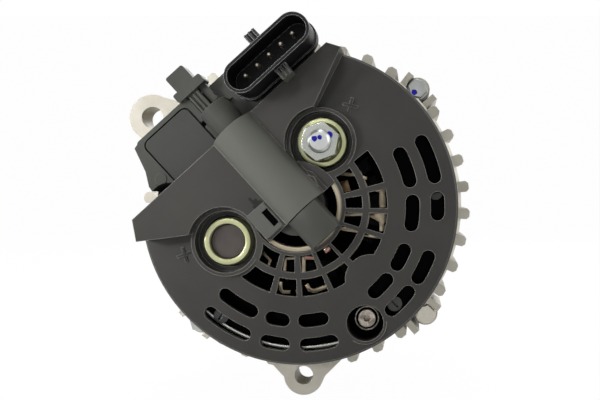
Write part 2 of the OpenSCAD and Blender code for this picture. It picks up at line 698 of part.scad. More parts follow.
module slip_ring_carrier() {
    color([0.3, 0.2, 0.12])
    along_shaft() difference() {
        turned() polygon([[5.2 + seat_gap, t_ring - 3], [ring_d / 2 - 1.2, t_ring - 3], [ring_d / 2 - 0.4, t_ring - 2],
            [ring_d / 2 - 0.4, t_ring], [ring_d / 2 - 1.5, t_ring], [ring_d / 2 - 1.5, t_ring + ring_w],
            [ring_d / 2 - 0.4, t_ring + ring_w], [ring_d / 2 - 0.4, t_ring2], [ring_d / 2 - 1.5, t_ring2],
            [ring_d / 2 - 1.5, t_ring2 + ring_w], [5.2 + seat_gap, t_ring2 + ring_w]]);
    }
}

module slip_rings() {
    color([0.8, 0.5, 0.3])
    along_shaft() for (t = [t_ring, t_ring2]) tube(t, t + ring_w, ring_d / 2, ring_d / 2 - 1.5);
}

module pulley_spacer() {
    color([0.65, 0.65, 0.65])
    along_shaft() tube(pulley_w / 2, t_bear, shaft_d / 2 + spacer_wall, shaft_d / 2 + seat_gap);
}

module pulley() {
    r = pulley_d / 2;
    w = pulley_w / 2;
    span = groove_n * groove_pitch;
    color([0.35, 0.35, 0.36])
    along_shaft() turned() difference() {
        polygon([[shaft_d / 2 + seat_gap, t_hub], [shaft_d / 2 + 7, t_hub], [r - rim_wall - groove_depth + 1, -w + 4],
            [r - rim_wall - groove_depth + 2, -w], [r - 0.8, -w], [r, -w + 0.8], [r, w - 0.8], [r - 0.8, w],
            [r - rim_wall - groove_depth + 2, w], [r - rim_wall - groove_depth, w - 3],
            [shaft_d / 2 + 8, w - 3], [shaft_d / 2 + 6, w], [shaft_d / 2 + seat_gap, w]]);
        for (i = [0 : groove_n - 1]) translate([r, -span / 2 + (i + 0.5) * groove_pitch])
            polygon([[1, -groove_pitch * 0.52], [0, -groove_pitch * 0.42], [-groove_depth, -groove_pitch * 0.1],
                [-groove_depth, groove_pitch * 0.1], [0, groove_pitch * 0.42], [1, groove_pitch * 0.52]]);
    }
}

module pulley_nut() {
    color([0.7, 0.7, 0.68])
    along_shaft() difference() {
        union() {
            slab(t_hub - nut_h, t_hub - 2.5) hexagon(nut_af);
            disc(t_hub - 2.5, t_hub, shaft_d / 2 + 5.4);
        }
        disc(t_hub - nut_h - 1, t_hub + 1, shaft_d / 2 - 0.5 + seat_gap);
    }
}

// The heat sinks and their board share one horseshoe that leaves the regulator free
sink_a0 = -172;
sink_a1 = 40;
screw_angles = [-163, -126, -46, 6];
// Half the diodes stand on each side of the cover screw's pocket
diode_left = [sink_a0 + 22, sink_a0 + 80];
diode_right = [-36, sink_a1 - 18];
function diode_angle(i) = let (h = ceil(diode_n / 2))
    i < h ? diode_left[0] + (diode_left[1] - diode_left[0]) * i / max(1, h - 1)
    : diode_right[0] + (diode_right[1] - diode_right[0]) * (i - h) / max(1, diode_n - h - 1);
lead_angles = [-128, -112, -96, -30, -12, 8];

module sink2d(ri) {
    difference() {
        ring_part(sink_out, ri, sink_a0, sink_a1);
        for (a = screw_angles) rotate(a) translate([sink_out - 5, 0]) circle(r = 1.8);
        rotate(-60.5) translate([59.5, 0]) circle(r = pocket_d / 2 + 1.6);
    }
}

module negative_heat_sink() {
    color([0.78, 0.78, 0.76])
    along_shaft() slab(t_sink, t_board) difference() {
        sink2d(sink_in);
        for (i = [0 : diode_n - 1]) rotate(diode_angle(i) + 9) translate([sink_in + 7, 0]) circle(d = diode_d);
    }
}

module diode(t0) {
    disc(t0, t0 + sink_t + 1, diode_d / 2);
    disc(t0 + sink_t + 1, t0 + sink_t + 2.6, diode_d / 2 - 2.4);
}

module negative_diodes() {
    color([0.55, 0.55, 0.57])
    along_shaft() for (i = [0 : diode_n - 1]) rotate([0, 0, diode_angle(i) + 9])
        translate([sink_in + 7, 0, 0]) diode(t_sink);
}

module terminal_board() {
    color([0.14, 0.14, 0.15])
    along_shaft() difference() {
        union() {
            slab(t_board, t_sink2) difference() {
                sink2d(sink_in - 1);
                for (i = [0 : diode_n - 1]) {
                    rotate(diode_angle(i) + 9) translate([sink_in + 7, 0]) circle(d = diode_d + 0.6);
                    rotate(diode_angle(i) - 9) translate([sink_in + 8, 0]) circle(d = diode_d + 0.6);
                }
            }
            // Inner rail that holds the winding's ends
            slab(t_board + 0.5, t_sink2 - 0.8) ring_part(sink_in - 1 + 0.5, sink_in - 8, sink_a0 + 6, sink_a1 - 4);
            translate([spare_x, spare_z, 0]) disc(t_sink2 - 1, t_sink2_end, stud_d / 2 - seat_gap);
            rotate([0, 0, atan2(spare_z, spare_x)]) slab(t_sink2 - 2, t_sink2)
                translate([norm([spare_x, spare_z]), -stud_d / 2]) square([sink_in + 2 - norm([spare_x, spare_z]), stud_d]);
        }
        for (a = lead_angles) rotate([0, 0, a]) translate([sink_in - 4.5, 0, 0])
            disc(t_plate, t_rim, 1.3 + run_gap);
    }
}

// The terminals' tabs reach inwards from the plate
module tab2d(x, z) {
    translate([x, z]) circle(r = bush_d / 2 + 0.6);
    rotate(atan2(z, x)) translate([norm([x, z]), -bush_d / 2 + 1]) square([sink_in + 6 - norm([x, z]), bush_d - 2]);
}

module positive_heat_sink() {
    color([0.8, 0.8, 0.78])
    along_shaft() slab(t_sink2, t_sink2_end) difference() {
        union() {
            sink2d(sink_in);
            ring_part(sink_in + 14, sink_in - 2, sink_a1 - 2, 82);
            tab2d(stud_x, stud_z);
            tab2d(spare_x, spare_z);
        }
        for (i = [0 : diode_n - 1]) rotate(diode_angle(i) - 9) translate([sink_in + 8, 0]) circle(d = diode_d);
        translate([stud_x, stud_z]) circle(d = stud_d);
        translate([spare_x, spare_z]) circle(d = stud_d);
        circle(r = rb_od / 2 + 4.2);
    }
}

module positive_diodes() {
    color([0.55, 0.55, 0.57])
    along_shaft() for (i = [0 : diode_n - 1]) rotate([0, 0, diode_angle(i) - 9])
        translate([sink_in + 8, 0, t_sink2_end]) mirror([0, 0, 1]) translate([0, 0, 0]) diode(0);
}

module rectifier_screws() {
    color([0.72, 0.72, 0.7])
    along_shaft() for (a = screw_angles) rotate([0, 0, a]) translate([sink_out - 5, 0, 0]) {
        disc(t_plate - 2.5, t_sink2_end + 0.4, 1.8 - seat_gap);
        slab(t_sink2_end, t_sink2_end + 2.2) difference() {
            circle(r = 3.4);
            square([4, 0.9], center = true);
        }
    }
}

module phase_leads() {
    color([0.8, 0.55, 0.4])
    along_shaft() for (a = lead_angles) rotate([0, 0, a])
        translate([sink_in - 4.5, 0, 0]) disc(t_plate + 1.5, t_sink2 + 1.5, 1.3);
}

module terminal_stud() {
    color([0.86, 0.86, 0.82])
    along_shaft() translate([stud_x, stud_z, 0]) turned() polygon([[0, t_sink2 - 3], [stud_d / 2 + 3, t_sink2 - 3],
        [stud_d / 2 + 3, t_sink2], [stud_d / 2 - seat_gap, t_sink2], [stud_d / 2 - seat_gap, t_bush + term_h],
        [stud_d / 2 - 0.4, t_bush + term_h], [stud_d / 2 - 0.4, t_bush + term_h + 3.6],
        [stud_d / 2 - 1.2, t_bush + term_h + 4.6], [0, t_bush + term_h + 4.6]]);
}

module bushing(bore) {
    top_r = max(bush_d / 2 - 2.4, bore / 2 + 0.9);
    turned() polygon([[bore / 2, t_sink2_end], [bush_d / 2 - 1.2, t_sink2_end], [bush_d / 2 - 1.2, t_bush - 4.4],
        [bush_d / 2, t_bush - 4.2], [bush_d / 2, t_bush - 3], [top_r, t_bush], [bore / 2 + 0.6, t_bush],
        [bore / 2, t_bush - 0.8]]);
}

module terminal_bushing() {
    color([0.78, 0.8, 0.64]) along_shaft() translate([stud_x, stud_z, 0]) bushing(stud_d);
}
module spare_bushing() {
    color([0.78, 0.8, 0.64]) along_shaft() translate([spare_x, spare_z, 0]) bushing(bush_bore);
}

module terminal_nut() {
    color([0.86, 0.86, 0.84])
    along_shaft() translate([stud_x, stud_z, 0]) difference() {
        union() {
            turned() polygon([[0, t_bush], [term_af / 2 + 1.4, t_bush], [term_af / 2 + 1.4, t_bush + 1],
                [term_af / 2 + 0.2, t_bush + 2.2], [0, t_bush + 2.2]]);
            intersection() {
                slab(t_bush + 1, t_bush + term_h) rotate(20) hexagon(term_af);
                turned() polygon([[0, t_bush], [term_af, t_bush], [term_af, t_bush + term_h - 4],
                    [term_af / 2, t_bush + term_h], [0, t_bush + term_h]]);
            }
        }
        disc(t_bush - 1, t_bush + term_h + 1, stud_d / 2);
    }
}

// Brush holder cross-section, round on top, seen along the barrel
module arch2d(w, top, low) {
    translate([-w / 2, low]) square([w, top - w / 2 - low]);
    translate([0, top - w / 2]) intersection() {
        circle(d = w);
        translate([-w / 2, 0]) square([w, w / 2]);
    }
}

// A bar of that section from p0 to p1 along the barrel
module arch(p0, p1, w, top, low) {
    translate([p0, barrel_q, 0]) rotate([90, 0, 90]) linear_extrude(height = p1 - p0) arch2d(w, top, low);
}

holder_w = 13.6;
holder_top = t_rim + barrel_h - cover_wall - 0.8;
holder_low = t_ring - 1.3;
lid_p0 = -64.9;
lid_q0 = -31;
conn_p = -53.85;
conn_q = 36.1;
pin_row = -1.25;
shelf_p0 = -65.9;
shelf_q1 = 51.5;
cup_r = 12.4;
// Fixing screws of the regulator and the bright boss beside its arm
reg_screw = [[-31, -27], [-36.5, 20]];
boss_at = [-38.7, -40];
brush_p1 = -ring_d / 2 - run_gap;

module regulator_housing() {
    body_low = t_rim - 4;
    color([0.3, 0.31, 0.29])
    along_shaft() in_barrel_frame() difference() {
        union() {
            // Frame under the lid, with its outer arm
            slab(body_low, t_lid - 0.4) {
                rounded(lid_p0 - lid_gap - lid_rim, lid_q0 - lid_gap - lid_rim, lid_p0 + lid_len + lid_gap + 1.4, -3, lid_r);
                polygon([[lid_p0 + 1, lid_q0 - 1], [-67, -33], [-66.5, -35], [-55.8, -38.3], [-50, -41.6], [-44, -42.4], [-42.5, -31]]);
            }
            // Fixing feet under the cover's wings
            slab(body_low, t_shelf - 1) {
                translate([reg_screw[0][0], reg_screw[0][1]]) circle(r = 4.6);
                translate([reg_screw[0][0] - 8, reg_screw[0][1] - 4]) square([8, 8]);
                translate([reg_screw[1][0], reg_screw[1][1]]) circle(r = 4.6);
                translate([reg_screw[1][0] - 8, reg_screw[1][1] - 4.6]) square([8, 9.2]);
            }
            // Round pad on the arm
            slab(t_lid - 1, t_lid - 0.1) translate([-48.9, -35.5]) circle(r = 2.5);
            // Neck and brush holder
            arch(-56, -cup_r + 3, holder_w, holder_top, holder_low);
            arch(-cup_r, 16.6, holder_w, holder_top, t_cap + 0.02);
            // Shelf under the connector
            slab(body_low, t_shelf) rounded(shelf_p0, 2, wing_top + 3, shelf_q1, 2);
            // Shroud
            slab(t_shelf - 1, t_conn) translate([conn_p, conn_q]) conn2d(0);
            slab(t_shelf - 1, t_shelf + 5) translate([conn_p, conn_q]) conn2d(-0.8);
            // Latch ramps on the shroud's long sides
            for (s = [-1, 1]) translate([conn_p + s * (conn_w / 2 + 2.4), conn_q, 0])
                {
                    slab(t_wing + 0.5, t_conn - 4) square([5.6, 5.6], center = true);
                    for (e = [-2, 0, 2]) slab(t_conn - 4.5, t_conn - 3.3)
                        translate([s * 0.4, e]) square([4.8, 0.8], center = true);
                }
            // Tab with its cross bar, stem and side piece
            slab(t_rim + 4, t_rim + 12) {
                rounded(-79, -4.5, -71, 5, 1);
                rounded(-71.4, -7.1, -67.2, 8, 1);
            }
            slab(t_rim + 2, t_rim + 10.5) translate([-67.6, -2.6]) square([12, 5.4]);
            for (e = [-1.9, 0.1, 2.1]) slab(t_rim + 10, t_rim + 11.4) translate([-66.2, e - 0.4]) square([9.6, 0.9]);
            slab(t_rim, t_rim + 9) translate([-67.6, 3.4]) square([9, 3.4]);
        }
        // Lid seat and the groove round it
        slab(t_lid - 2.2, t_lid) rounded(lid_p0 - lid_gap, lid_q0 - lid_gap, lid_p0 + lid_len + lid_gap,
            lid_q0 + lid_w + lid_gap, lid_r + lid_gap);
        // Connector cavity
        slab(t_conn - conn_depth, t_conn + 1) translate([conn_p, conn_q]) conn2d(conn_wall);
        // Notches beside the neck
        for (q = [-5.6, 10.2]) translate([-55.4, q - 1, t_rim + 4]) cube([2.6, 2, 20]);
        slab(t_rim + 5, t_rim + 13) translate([-61, 7.6]) circle(r = 1.1);
        // Brush channels
        for (t = [t_ring, t_ring2]) {
            translate([brush_p1 - brush_len - spring_len - 1, -brush_w / 2 - brush_gap, t + ring_w / 2 - brush_t / 2 - brush_gap])
                cube([brush_len + spring_len + 5, brush_w + 2 * brush_gap, brush_t + 2 * brush_gap]);
        }
        disc(holder_low - 1, t_cap + 0.02, cup_r + seat_gap);
        disc(holder_low - 1, t_collar + 0.6, rb_od / 2 + 4);
        // Screw holes
        for (c = reg_screw) translate([c[0], c[1], 0]) disc(body_low - 1, t_lid, 2.2);
        translate([boss_at[0], boss_at[1], 0]) disc(body_low - 1, t_lid, 9);
        for (i = [0 : pin_n - 1]) translate([conn_p + pin_row, conn_q + (i - (pin_n - 1) / 2) * pin_pitch, 0])
            disc(body_low + 2, t_conn - 1, pin_d / 2);
    }
}

module conn2d(inset) {
    w = conn_w - 2 * inset;
    l = conn_len - conn_w;
    translate([-w / 2, -l / 2]) square([w, l]);
    for (s = [-1, 1]) translate([0, s * l / 2]) circle(d = w);
}

module regulator_lid() {
    color([0.37, 0.38, 0.37])
    along_shaft() in_barrel_frame() slab(t_lid - 2.2, t_lid)
        rounded(lid_p0, lid_q0, lid_p0 + lid_len, lid_q0 + lid_w, lid_r);
}

module regulator_screws() {
    color([0.75, 0.75, 0.73])
    along_shaft() in_barrel_frame() for (c = reg_screw) translate([c[0], c[1], 0]) {
        disc(t_plate + 3, t_shelf - 0.6, 2 - seat_gap);
        disc(t_shelf - 1, t_shelf + 1, 3.4);
    }
}

module connector_pins() {
    color([0.85, 0.84, 0.8])
    along_shaft() in_barrel_frame() for (i = [0 : pin_n - 1])
        translate([conn_p + pin_row, conn_q + (i - (pin_n - 1) / 2) * pin_pitch, 0]) {
            disc(t_shelf - 3, t_conn - conn_depth + pin_out - 0.6, pin_d / 2 - seat_gap);
            translate([0, 0, t_conn - conn_depth + pin_out - 0.6]) cylinder(r1 = pin_d / 2 - seat_gap, r2 = pin_d / 4, h = 0.6);
        }
}

module slip_ring_cap() {
    color([0.28, 0.28, 0.27])
    along_shaft() difference() {
        disc(t_ring - 1.3, t_cap, cup_r);
        disc(t_ring - 2, t_cap - 1.8, cup_r - 1.8);
        // Window for the brushes
        in_barrel_frame() translate([-cup_r - 1, -brush_w / 2 - brush_gap, t_ring - 2])
            cube([cup_r, brush_w + 2 * brush_gap, t_ring2 + ring_w - t_ring + 2.4]);
    }
}

module brush(t0) {
    in_barrel_frame() translate([0, 0, t0 + ring_w / 2]) difference() {
        translate([brush_p1 - brush_len, -brush_w / 2, -brush_t / 2]) cube([brush_len + 1.6, brush_w, brush_t]);
        translate([0, 0, -brush_t]) cylinder(r = ring_d / 2 + run_gap, h = 2 * brush_t);
    }
}
module front_brush() { color([0.2, 0.2, 0.2]) along_shaft() brush(t_ring); }
module rear_brush() { color([0.2, 0.2, 0.2]) along_shaft() brush(t_ring2); }

// Coil spring between the brush and the end of its channel
spring_turns = 7;
spring_steps = 12;
spring_sides = 6;
function spring_point(i) = let (n = spring_turns * spring_steps, a = i * 360 / spring_steps,
    r = spring_d / 2 - spring_wire / 2)
    [0.3 + spring_wire / 2 + (spring_len - 0.6 - spring_wire) * i / n, r * cos(a), r * sin(a)];
module brush_spring(t0) {
    n = spring_turns * spring_steps;
    pts = [for (i = [0 : n], j = [0 : spring_sides - 1]) let (a = i * 360 / spring_steps,
        b = j * 360 / spring_sides) spring_point(i) + spring_wire / 2 * [sin(b), cos(b) * cos(a), cos(b) * sin(a)]];
    faces = concat([[for (j = [0 : spring_sides - 1]) j]],
        [[for (j = [spring_sides - 1 : -1 : 0]) n * spring_sides + j]],
        [for (i = [0 : n - 1], j = [0 : spring_sides - 1]) let (k = (j + 1) % spring_sides, a = i * spring_sides,
            b = a + spring_sides) [a + j, b + j, b + k, a + k]]);
    in_barrel_frame() translate([brush_p1 - brush_len - spring_len - 1, 0, t0 + ring_w / 2])
        polyhedron(points = pts, faces = faces);
}
module front_brush_spring() { color([0.7, 0.7, 0.7]) along_shaft() brush_spring(t_ring); }
module rear_brush_spring() { color([0.7, 0.7, 0.7]) along_shaft() brush_spring(t_ring2); }

// Cover forms, each drawn once for the outside and once, inset, for the inside
face_r = cover_r - rim_r;
function face_h(r) = t_rim + 1.6 + (face_r - r) * dome_rise;
module dome(w) {
    turned() polygon([[0, t_rim - skirt_len - (w > 0 ? 1 : 0)], [cover_r - w, t_rim - skirt_len - (w > 0 ? 1 : 0)],
        [cover_r - w, t_rim - w], [cover_r - rim_r * 0.3 - w, t_rim + 1 - w], [face_r - w, face_h(face_r) - w],
        [0, face_h(0) - w]]);
}

// Wing outline: straight top edge, bevelled tips, and the edge back to each well
module wing2d(w) {
    o = w > 0 ? 8 : 0;
    offset(delta = -w) polygon([[wing_top - o, -53], [wing_top, -55.5], [-35.2, -60.6],
        [-23.2, -43.5], [-21.6, -40], [-8, -22], [4, -8], [4, 12], [-8, 16], [-21, 30], [-26.5, 34.4],
        [-37.8, 61], [wing_top, 57.7], [wing_top - o, 55]]);
}

module wings(w) {
    difference() {
        slab(t_rim - 2 - w, t_wing - w) wing2d(w);
        for (c = [[stud_x, stud_z], [spare_x, spare_z]]) rotate([0, 0, -barrel_a]) translate([c[0], c[1], 0])
            disc(t_rim - 4, t_wing + 1, well_d / 2 + 1.8 + w);
    }
}

// Terminal plateau on one side, falling away outwards
module plateau(side, w) {
    c = side > 0 ? [stud_x, stud_z] : [spare_x, spare_z];
    intersection() {
        union() {
            slab(t_rim - 2 - w, t_rim + 20) offset(delta = -w) intersection() {
                circle(r = face_r);
                mirror([0, side > 0 ? 0 : 1]) polygon([[-44, 20], [-44, 72], [8, 72], [3.4, 62], [7.6, 54], [-0.4, 41],
                    [-1.2, 31], [-8, 15]]);
            }
            rotate([0, 0, -barrel_a]) translate([c[0], c[1], 0]) disc(t_rim - 2 - w, t_rim + 20, well_d / 2 + 2.4 - w);
        }
        translate([0, 0, t_rim + plateau_h - w]) rotate([side > 0 ? -11.5 : 11.5, 0, 0])
            translate([-80, side > 0 ? -20 : -120, -40]) cube([160, 140, 40]);
    }
}

module barrel(w) {
    arch(wing_top - (w > 0 ? 1 : 0), 3.2 + (w > 0 ? 1 : 0), barrel_w - 2 * w, t_rim + barrel_h - w, t_rim - 2 - w);
}

module cover_form(w) {
    dome(w);
    in_barrel_frame() {
        wings(w);
        plateau(1, w);
        plateau(-1, w);
        barrel(w);
    }
}

module rear_cover() {
    color([0.24, 0.23, 0.22])
    along_shaft() difference() {
        union() {
            difference() {
                cover_form(0);
                cover_form(cover_wall);
                // Everything above the wings' top edge is left to the regulator
                in_barrel_frame() translate([-120, -90, t_rim - skirt_len - 2]) cube([120 + wing_top, 180, 60]);
                in_barrel_frame() translate([-60, -44, t_rim - skirt_len - 2]) cube([60 + wing_top + 8, 97, skirt_len + wing_h + 2 - cover_wall]);
            }
            for (c = [[stud_x, stud_z], [spare_x, spare_z]]) translate([c[0], c[1], 0])
                tube(t_sink2_end + 0.3, t_rim + plateau_h - 2, well_d / 2 + 1.6, bush_d / 2 + 0.4);
            rotate([0, 0, -60.5]) translate([59.5, 0, 0]) tube(t_plate + 2, face_h(64), pocket_d / 2 + 1.4, 2.6);
            tube(face_h(grille_r) - 5, face_h(grille_r) - 0.3, grille_r - 0.3, grille_r - 3);
            in_barrel_frame() clip_block();
        }
        // Wells, pocket and the round opening over the slip rings
        for (c = [[stud_x, stud_z], [spare_x, spare_z]]) translate([c[0], c[1], 0])
            disc(t_bush - 2.6, t_rim + 30, well_d / 2);
        rotate([0, 0, -60.5]) translate([59.5, 0, 0]) disc(t_plate + 5, t_rim + 10, pocket_d / 2);
        difference() {
            disc(t_rim - skirt_len, face_h(0) + 1, grille_r - 1.6);
            in_barrel_frame() translate([-40, -19, t_rim - skirt_len - 1]) cube([40 + 3.2, 34.6, 60]);
        }
        in_barrel_frame() {
            disc(t_rim - skirt_len, t_cap + 0.4, cup_r + 0.8);
            difference() {
                disc(t_rim - skirt_len - 0.5, t_rim + barrel_h - cover_wall - 8, grille_r - 2);
                translate([-40, -40, t_rim + wing_h - cover_wall - 3]) cube([43.2, 80, 60]);
            }
            arch(wing_top - 1, 4.2, barrel_w - 2 * cover_wall, t_rim + barrel_h - cover_wall, t_rim - skirt_len - 1);
        }
        vents();
    }
}

module clip_block() {
    difference() {
        slab(t_rim + 8, t_wing + 0.6) translate([-11, -18.2]) square([13, 9.4]);
        slab(t_rim, t_wing + 2) translate([-8, -12.2]) square([7.6, 3.2]);
    }
}

module vents() {
    slab(t_rim - 1, t_rim + 14) {
        for (a = [[9.7, 30.8], [-5.8, 6.3], [-33.7, -18.5], [-51, -35.3], [-89.8, -73.6], [-106.4, -93.9],
            [-132.5, -110.5]]) arc_slot(slot_out_r, vent_w, a[0], a[1]);
        for (a = [[9.7, 31], [-12.5, 6.1], [-33.7, -18.9], [-51.7, -36.2], [-90.2, -74.7], [-106.8, -94.3],
            [-133, -110.8]]) arc_slot(slot_in_r, vent_w, a[0], a[1]);
    }
    difference() {
        slab(t_rim - 1, t_rim + 20) {
            for (a = [[16, 38], [-1, 10], [-18, -6], [-46.5, -22], [-67, -49.5], [-86, -71.5], [-103.5, -92],
                [-134, -109]]) ring_part(window_in, grille_r, a[0], a[1]);
            for (a = [[16, 39], [-1, 11.5], [-17.5, -4.5], [-44.5, -21], [-66.5, -49.5], [-87, -70], [-104, -90.5],
                [-131, -108]]) ring_part(grille_end, window_out, a[0], a[1]);
        }
        rotate([0, 0, -45]) translate([45, 0, 0]) disc(t_rim - 2, t_rim + 21, 11);
        for (c = [[stud_x, stud_z], [spare_x, spare_z]]) translate([c[0], c[1], 0])
            disc(t_rim - 2, t_rim + 21, well_d / 2 + 3);
    }
}

module cover_screw() {
    color([0.78, 0.76, 0.72])
    along_shaft() rotate([0, 0, -60.5]) translate([59.5, 0, 0]) {
        disc(t_plate - 2.5, t_plate + 5.4, 2.2 - seat_gap);
        slab(t_plate + 5, t_plate + 8.6) difference() {
            circle(r = 4);
            circle(r = 1.6, $fn = 6);
        }
    }
}

drive_end_housing();
slip_ring_end_housing();
stator_core();
stator_winding();
through_bolts();
front_bearing_outer();
front_bearing_cage();
front_bearing_inner();
bearing_retainer();
retainer_screws();
rear_bearing_outer();
rear_bearing_cage();
rear_bearing_inner();
rotor_shaft();
front_claw_pole();
rear_claw_pole();
coil_bobbin();
field_coil();
front_fan();
rear_fan();
slip_ring_carrier();
slip_rings();
pulley_spacer();
pulley();
pulley_nut();
negative_heat_sink();
negative_diodes();
terminal_board();
positive_heat_sink();
positive_diodes();
rectifier_screws();
phase_leads();
terminal_stud();
terminal_bushing();
terminal_nut();
spare_bushing();
regulator_housing();
regulator_lid();
regulator_screws();
connector_pins();
slip_ring_cap();
front_brush();
rear_brush();
front_brush_spring();
rear_brush_spring();
rear_cover();
cover_screw();
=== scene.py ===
"""Dress of the alternator: finishes, threads, wires, small signs, light and camera."""
import json
import math

import bpy
from mathutils import Matrix, Vector


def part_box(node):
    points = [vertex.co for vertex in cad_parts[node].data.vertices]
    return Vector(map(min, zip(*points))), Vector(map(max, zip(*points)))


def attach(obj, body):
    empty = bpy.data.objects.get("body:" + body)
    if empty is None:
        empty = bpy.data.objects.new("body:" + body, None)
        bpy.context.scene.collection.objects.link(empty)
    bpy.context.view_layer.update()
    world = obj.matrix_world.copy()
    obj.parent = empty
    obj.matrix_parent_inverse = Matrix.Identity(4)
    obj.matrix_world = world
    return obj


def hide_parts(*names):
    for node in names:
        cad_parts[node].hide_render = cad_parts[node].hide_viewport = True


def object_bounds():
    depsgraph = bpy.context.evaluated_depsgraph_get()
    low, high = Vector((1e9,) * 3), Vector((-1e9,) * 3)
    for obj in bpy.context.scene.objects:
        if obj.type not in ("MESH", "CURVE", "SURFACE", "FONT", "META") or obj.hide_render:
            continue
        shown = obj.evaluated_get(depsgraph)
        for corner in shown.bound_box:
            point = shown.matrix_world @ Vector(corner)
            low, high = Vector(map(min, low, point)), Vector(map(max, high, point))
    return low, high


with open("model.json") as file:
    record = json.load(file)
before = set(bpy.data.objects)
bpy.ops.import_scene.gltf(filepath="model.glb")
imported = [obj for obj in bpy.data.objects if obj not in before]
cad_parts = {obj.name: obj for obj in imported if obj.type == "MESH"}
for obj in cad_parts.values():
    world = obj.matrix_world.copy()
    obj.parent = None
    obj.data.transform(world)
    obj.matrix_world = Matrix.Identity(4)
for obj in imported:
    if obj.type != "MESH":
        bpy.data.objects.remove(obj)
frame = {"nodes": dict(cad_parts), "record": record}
cad_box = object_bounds()
bpy.ops.object.select_all(action="DESELECT")

MM = 0.001
IMAGE_WIDTH = 600

# Camera: stands behind the cover, a little to its right, and looks along the shaft
CAMERA_PLACE = (51.5 * MM, -492 * MM, 7.4 * MM)
LENS_MM = 45.5
SENSOR_MM = 36
SHIFT_RIGHT_PX = -115
SHIFT_UP_PX = -10

camera_data = bpy.data.cameras.new("camera")
camera_data.lens = LENS_MM
camera_data.sensor_width = SENSOR_MM
camera_data.shift_x = SHIFT_RIGHT_PX / IMAGE_WIDTH
camera_data.shift_y = SHIFT_UP_PX / IMAGE_WIDTH
camera_data.clip_start = 0.01
camera = bpy.data.objects.new("camera", camera_data)
camera.location = CAMERA_PLACE
camera.rotation_euler = (math.radians(90), 0, 0)
bpy.context.scene.collection.objects.link(camera)
bpy.context.scene.camera = camera
bpy.context.scene.view_settings.view_transform = "Standard"

# The shaft's own frame: x right, y up, z rearward from the belt's middle plane, in millimetres
SHAFT = Matrix.Rotation(math.radians(90), 4, "X") @ Matrix.Scale(MM, 4)
# The same frame turned so that x runs along the cover's barrel, down towards the shaft
BARREL_ANGLE = -47.55
BARREL = SHAFT @ Matrix.Rotation(math.radians(BARREL_ANGLE), 4, "Z")
# Middles of the two terminals in the shaft's frame
MAIN_TERMINAL = (10.6, 28.3)
SPARE_TERMINAL = (-31, -15.2)
NODES = frame["nodes"]


def tone(red, green, blue):
    """A colour as seen, 0 to 255, as the shader's linear values"""
    def linear(c):
        c = c / 255
        return c / 12.92 if c <= 0.04045 else ((c + 0.055) / 1.055) ** 2.4
    return (linear(red), linear(green), linear(blue), 1)


def lamp(name, kind, place, aim, watts, **shape):
    """A lamp that shines from its place to its aim, both in metres, and isn't seen itself"""
    data = bpy.data.lights.new(name, kind)
    data.energy = watts
    for key, value in shape.items():
        setattr(data, key, value)
    made = bpy.data.objects.new(name, data)
    made.location = place
    made.rotation_euler = (Vector(aim) - Vector(place)).to_track_quat("-Z", "Y").to_euler()
    made.visible_camera = False
    bpy.context.scene.collection.objects.link(made)


lamp("key_spot", "SPOT", (-0.46, -0.56, 0.10), (-0.058, -0.165, 0.034), 9,
     spot_size=math.radians(25), spot_blend=1.0, shadow_soft_size=0.06)
lamp("barrel_spot", "SPOT", (-0.12, -0.62, 0.30), (-0.03, -0.172, 0.045), 2.6,
     spot_size=math.radians(15), spot_blend=1.0, shadow_soft_size=0.05)
lamp("left_softbox", "AREA", (-0.6, -0.5, 0.25), (-0.02, -0.14, 0), 2.2,
     shape="RECTANGLE", size=0.4, size_y=0.5)
lamp("top_softbox", "AREA", (-0.1, -0.14, 0.95), (0, -0.12, 0), 6,
     shape="RECTANGLE", size=0.6, size_y=0.45)
lamp("right_softbox", "AREA", (0.9, -0.05, 0.35), (0, -0.1, 0), 4,
     shape="RECTANGLE", size=0.5, size_y=0.7)
lamp("rear_softbox", "AREA", (0.1, 0.75, 0.7), (0, -0.08, 0), 6,
     shape="RECTANGLE", size=0.8, size_y=0.5)


def seen_directly(tree, path):
    """1 for rays that show the white surroundings: to the camera, off gloss or through glass"""
    total = path.outputs["Is Camera Ray"]
    for kind in ("Is Glossy Ray", "Is Transmission Ray"):
        add = tree.nodes.new("ShaderNodeMath")
        add.operation = "MAXIMUM"
        tree.links.new(total, add.inputs[0])
        tree.links.new(path.outputs[kind], add.inputs[1])
        total = add.outputs[0]
    return total


# White surroundings, which light the part less than they show
WORLD_LIGHT = 0.3
world = bpy.data.worlds.new("studio")
bpy.context.scene.world = world
world.use_nodes = True
world_nodes = world.node_tree.nodes
world_nodes.clear()
world_links = world.node_tree.links
world_out = world_nodes.new("ShaderNodeOutputWorld")
world_mix = world_nodes.new("ShaderNodeMixShader")
world_glow = world_nodes.new("ShaderNodeBackground")
world_seen = world_nodes.new("ShaderNodeBackground")
world_path = world_nodes.new("ShaderNodeLightPath")
world_glow.inputs["Strength"].default_value = WORLD_LIGHT
world_glow.inputs["Color"].default_value = (1, 1, 1, 1)
world_seen.inputs["Color"].default_value = (1, 1, 1, 1)
world_links.new(seen_directly(world.node_tree, world_path), world_mix.inputs[0])
world_links.new(world_glow.outputs[0], world_mix.inputs[1])
world_links.new(world_seen.outputs[0], world_mix.inputs[2])
world_links.new(world_mix.outputs[0], world_out.inputs[0])

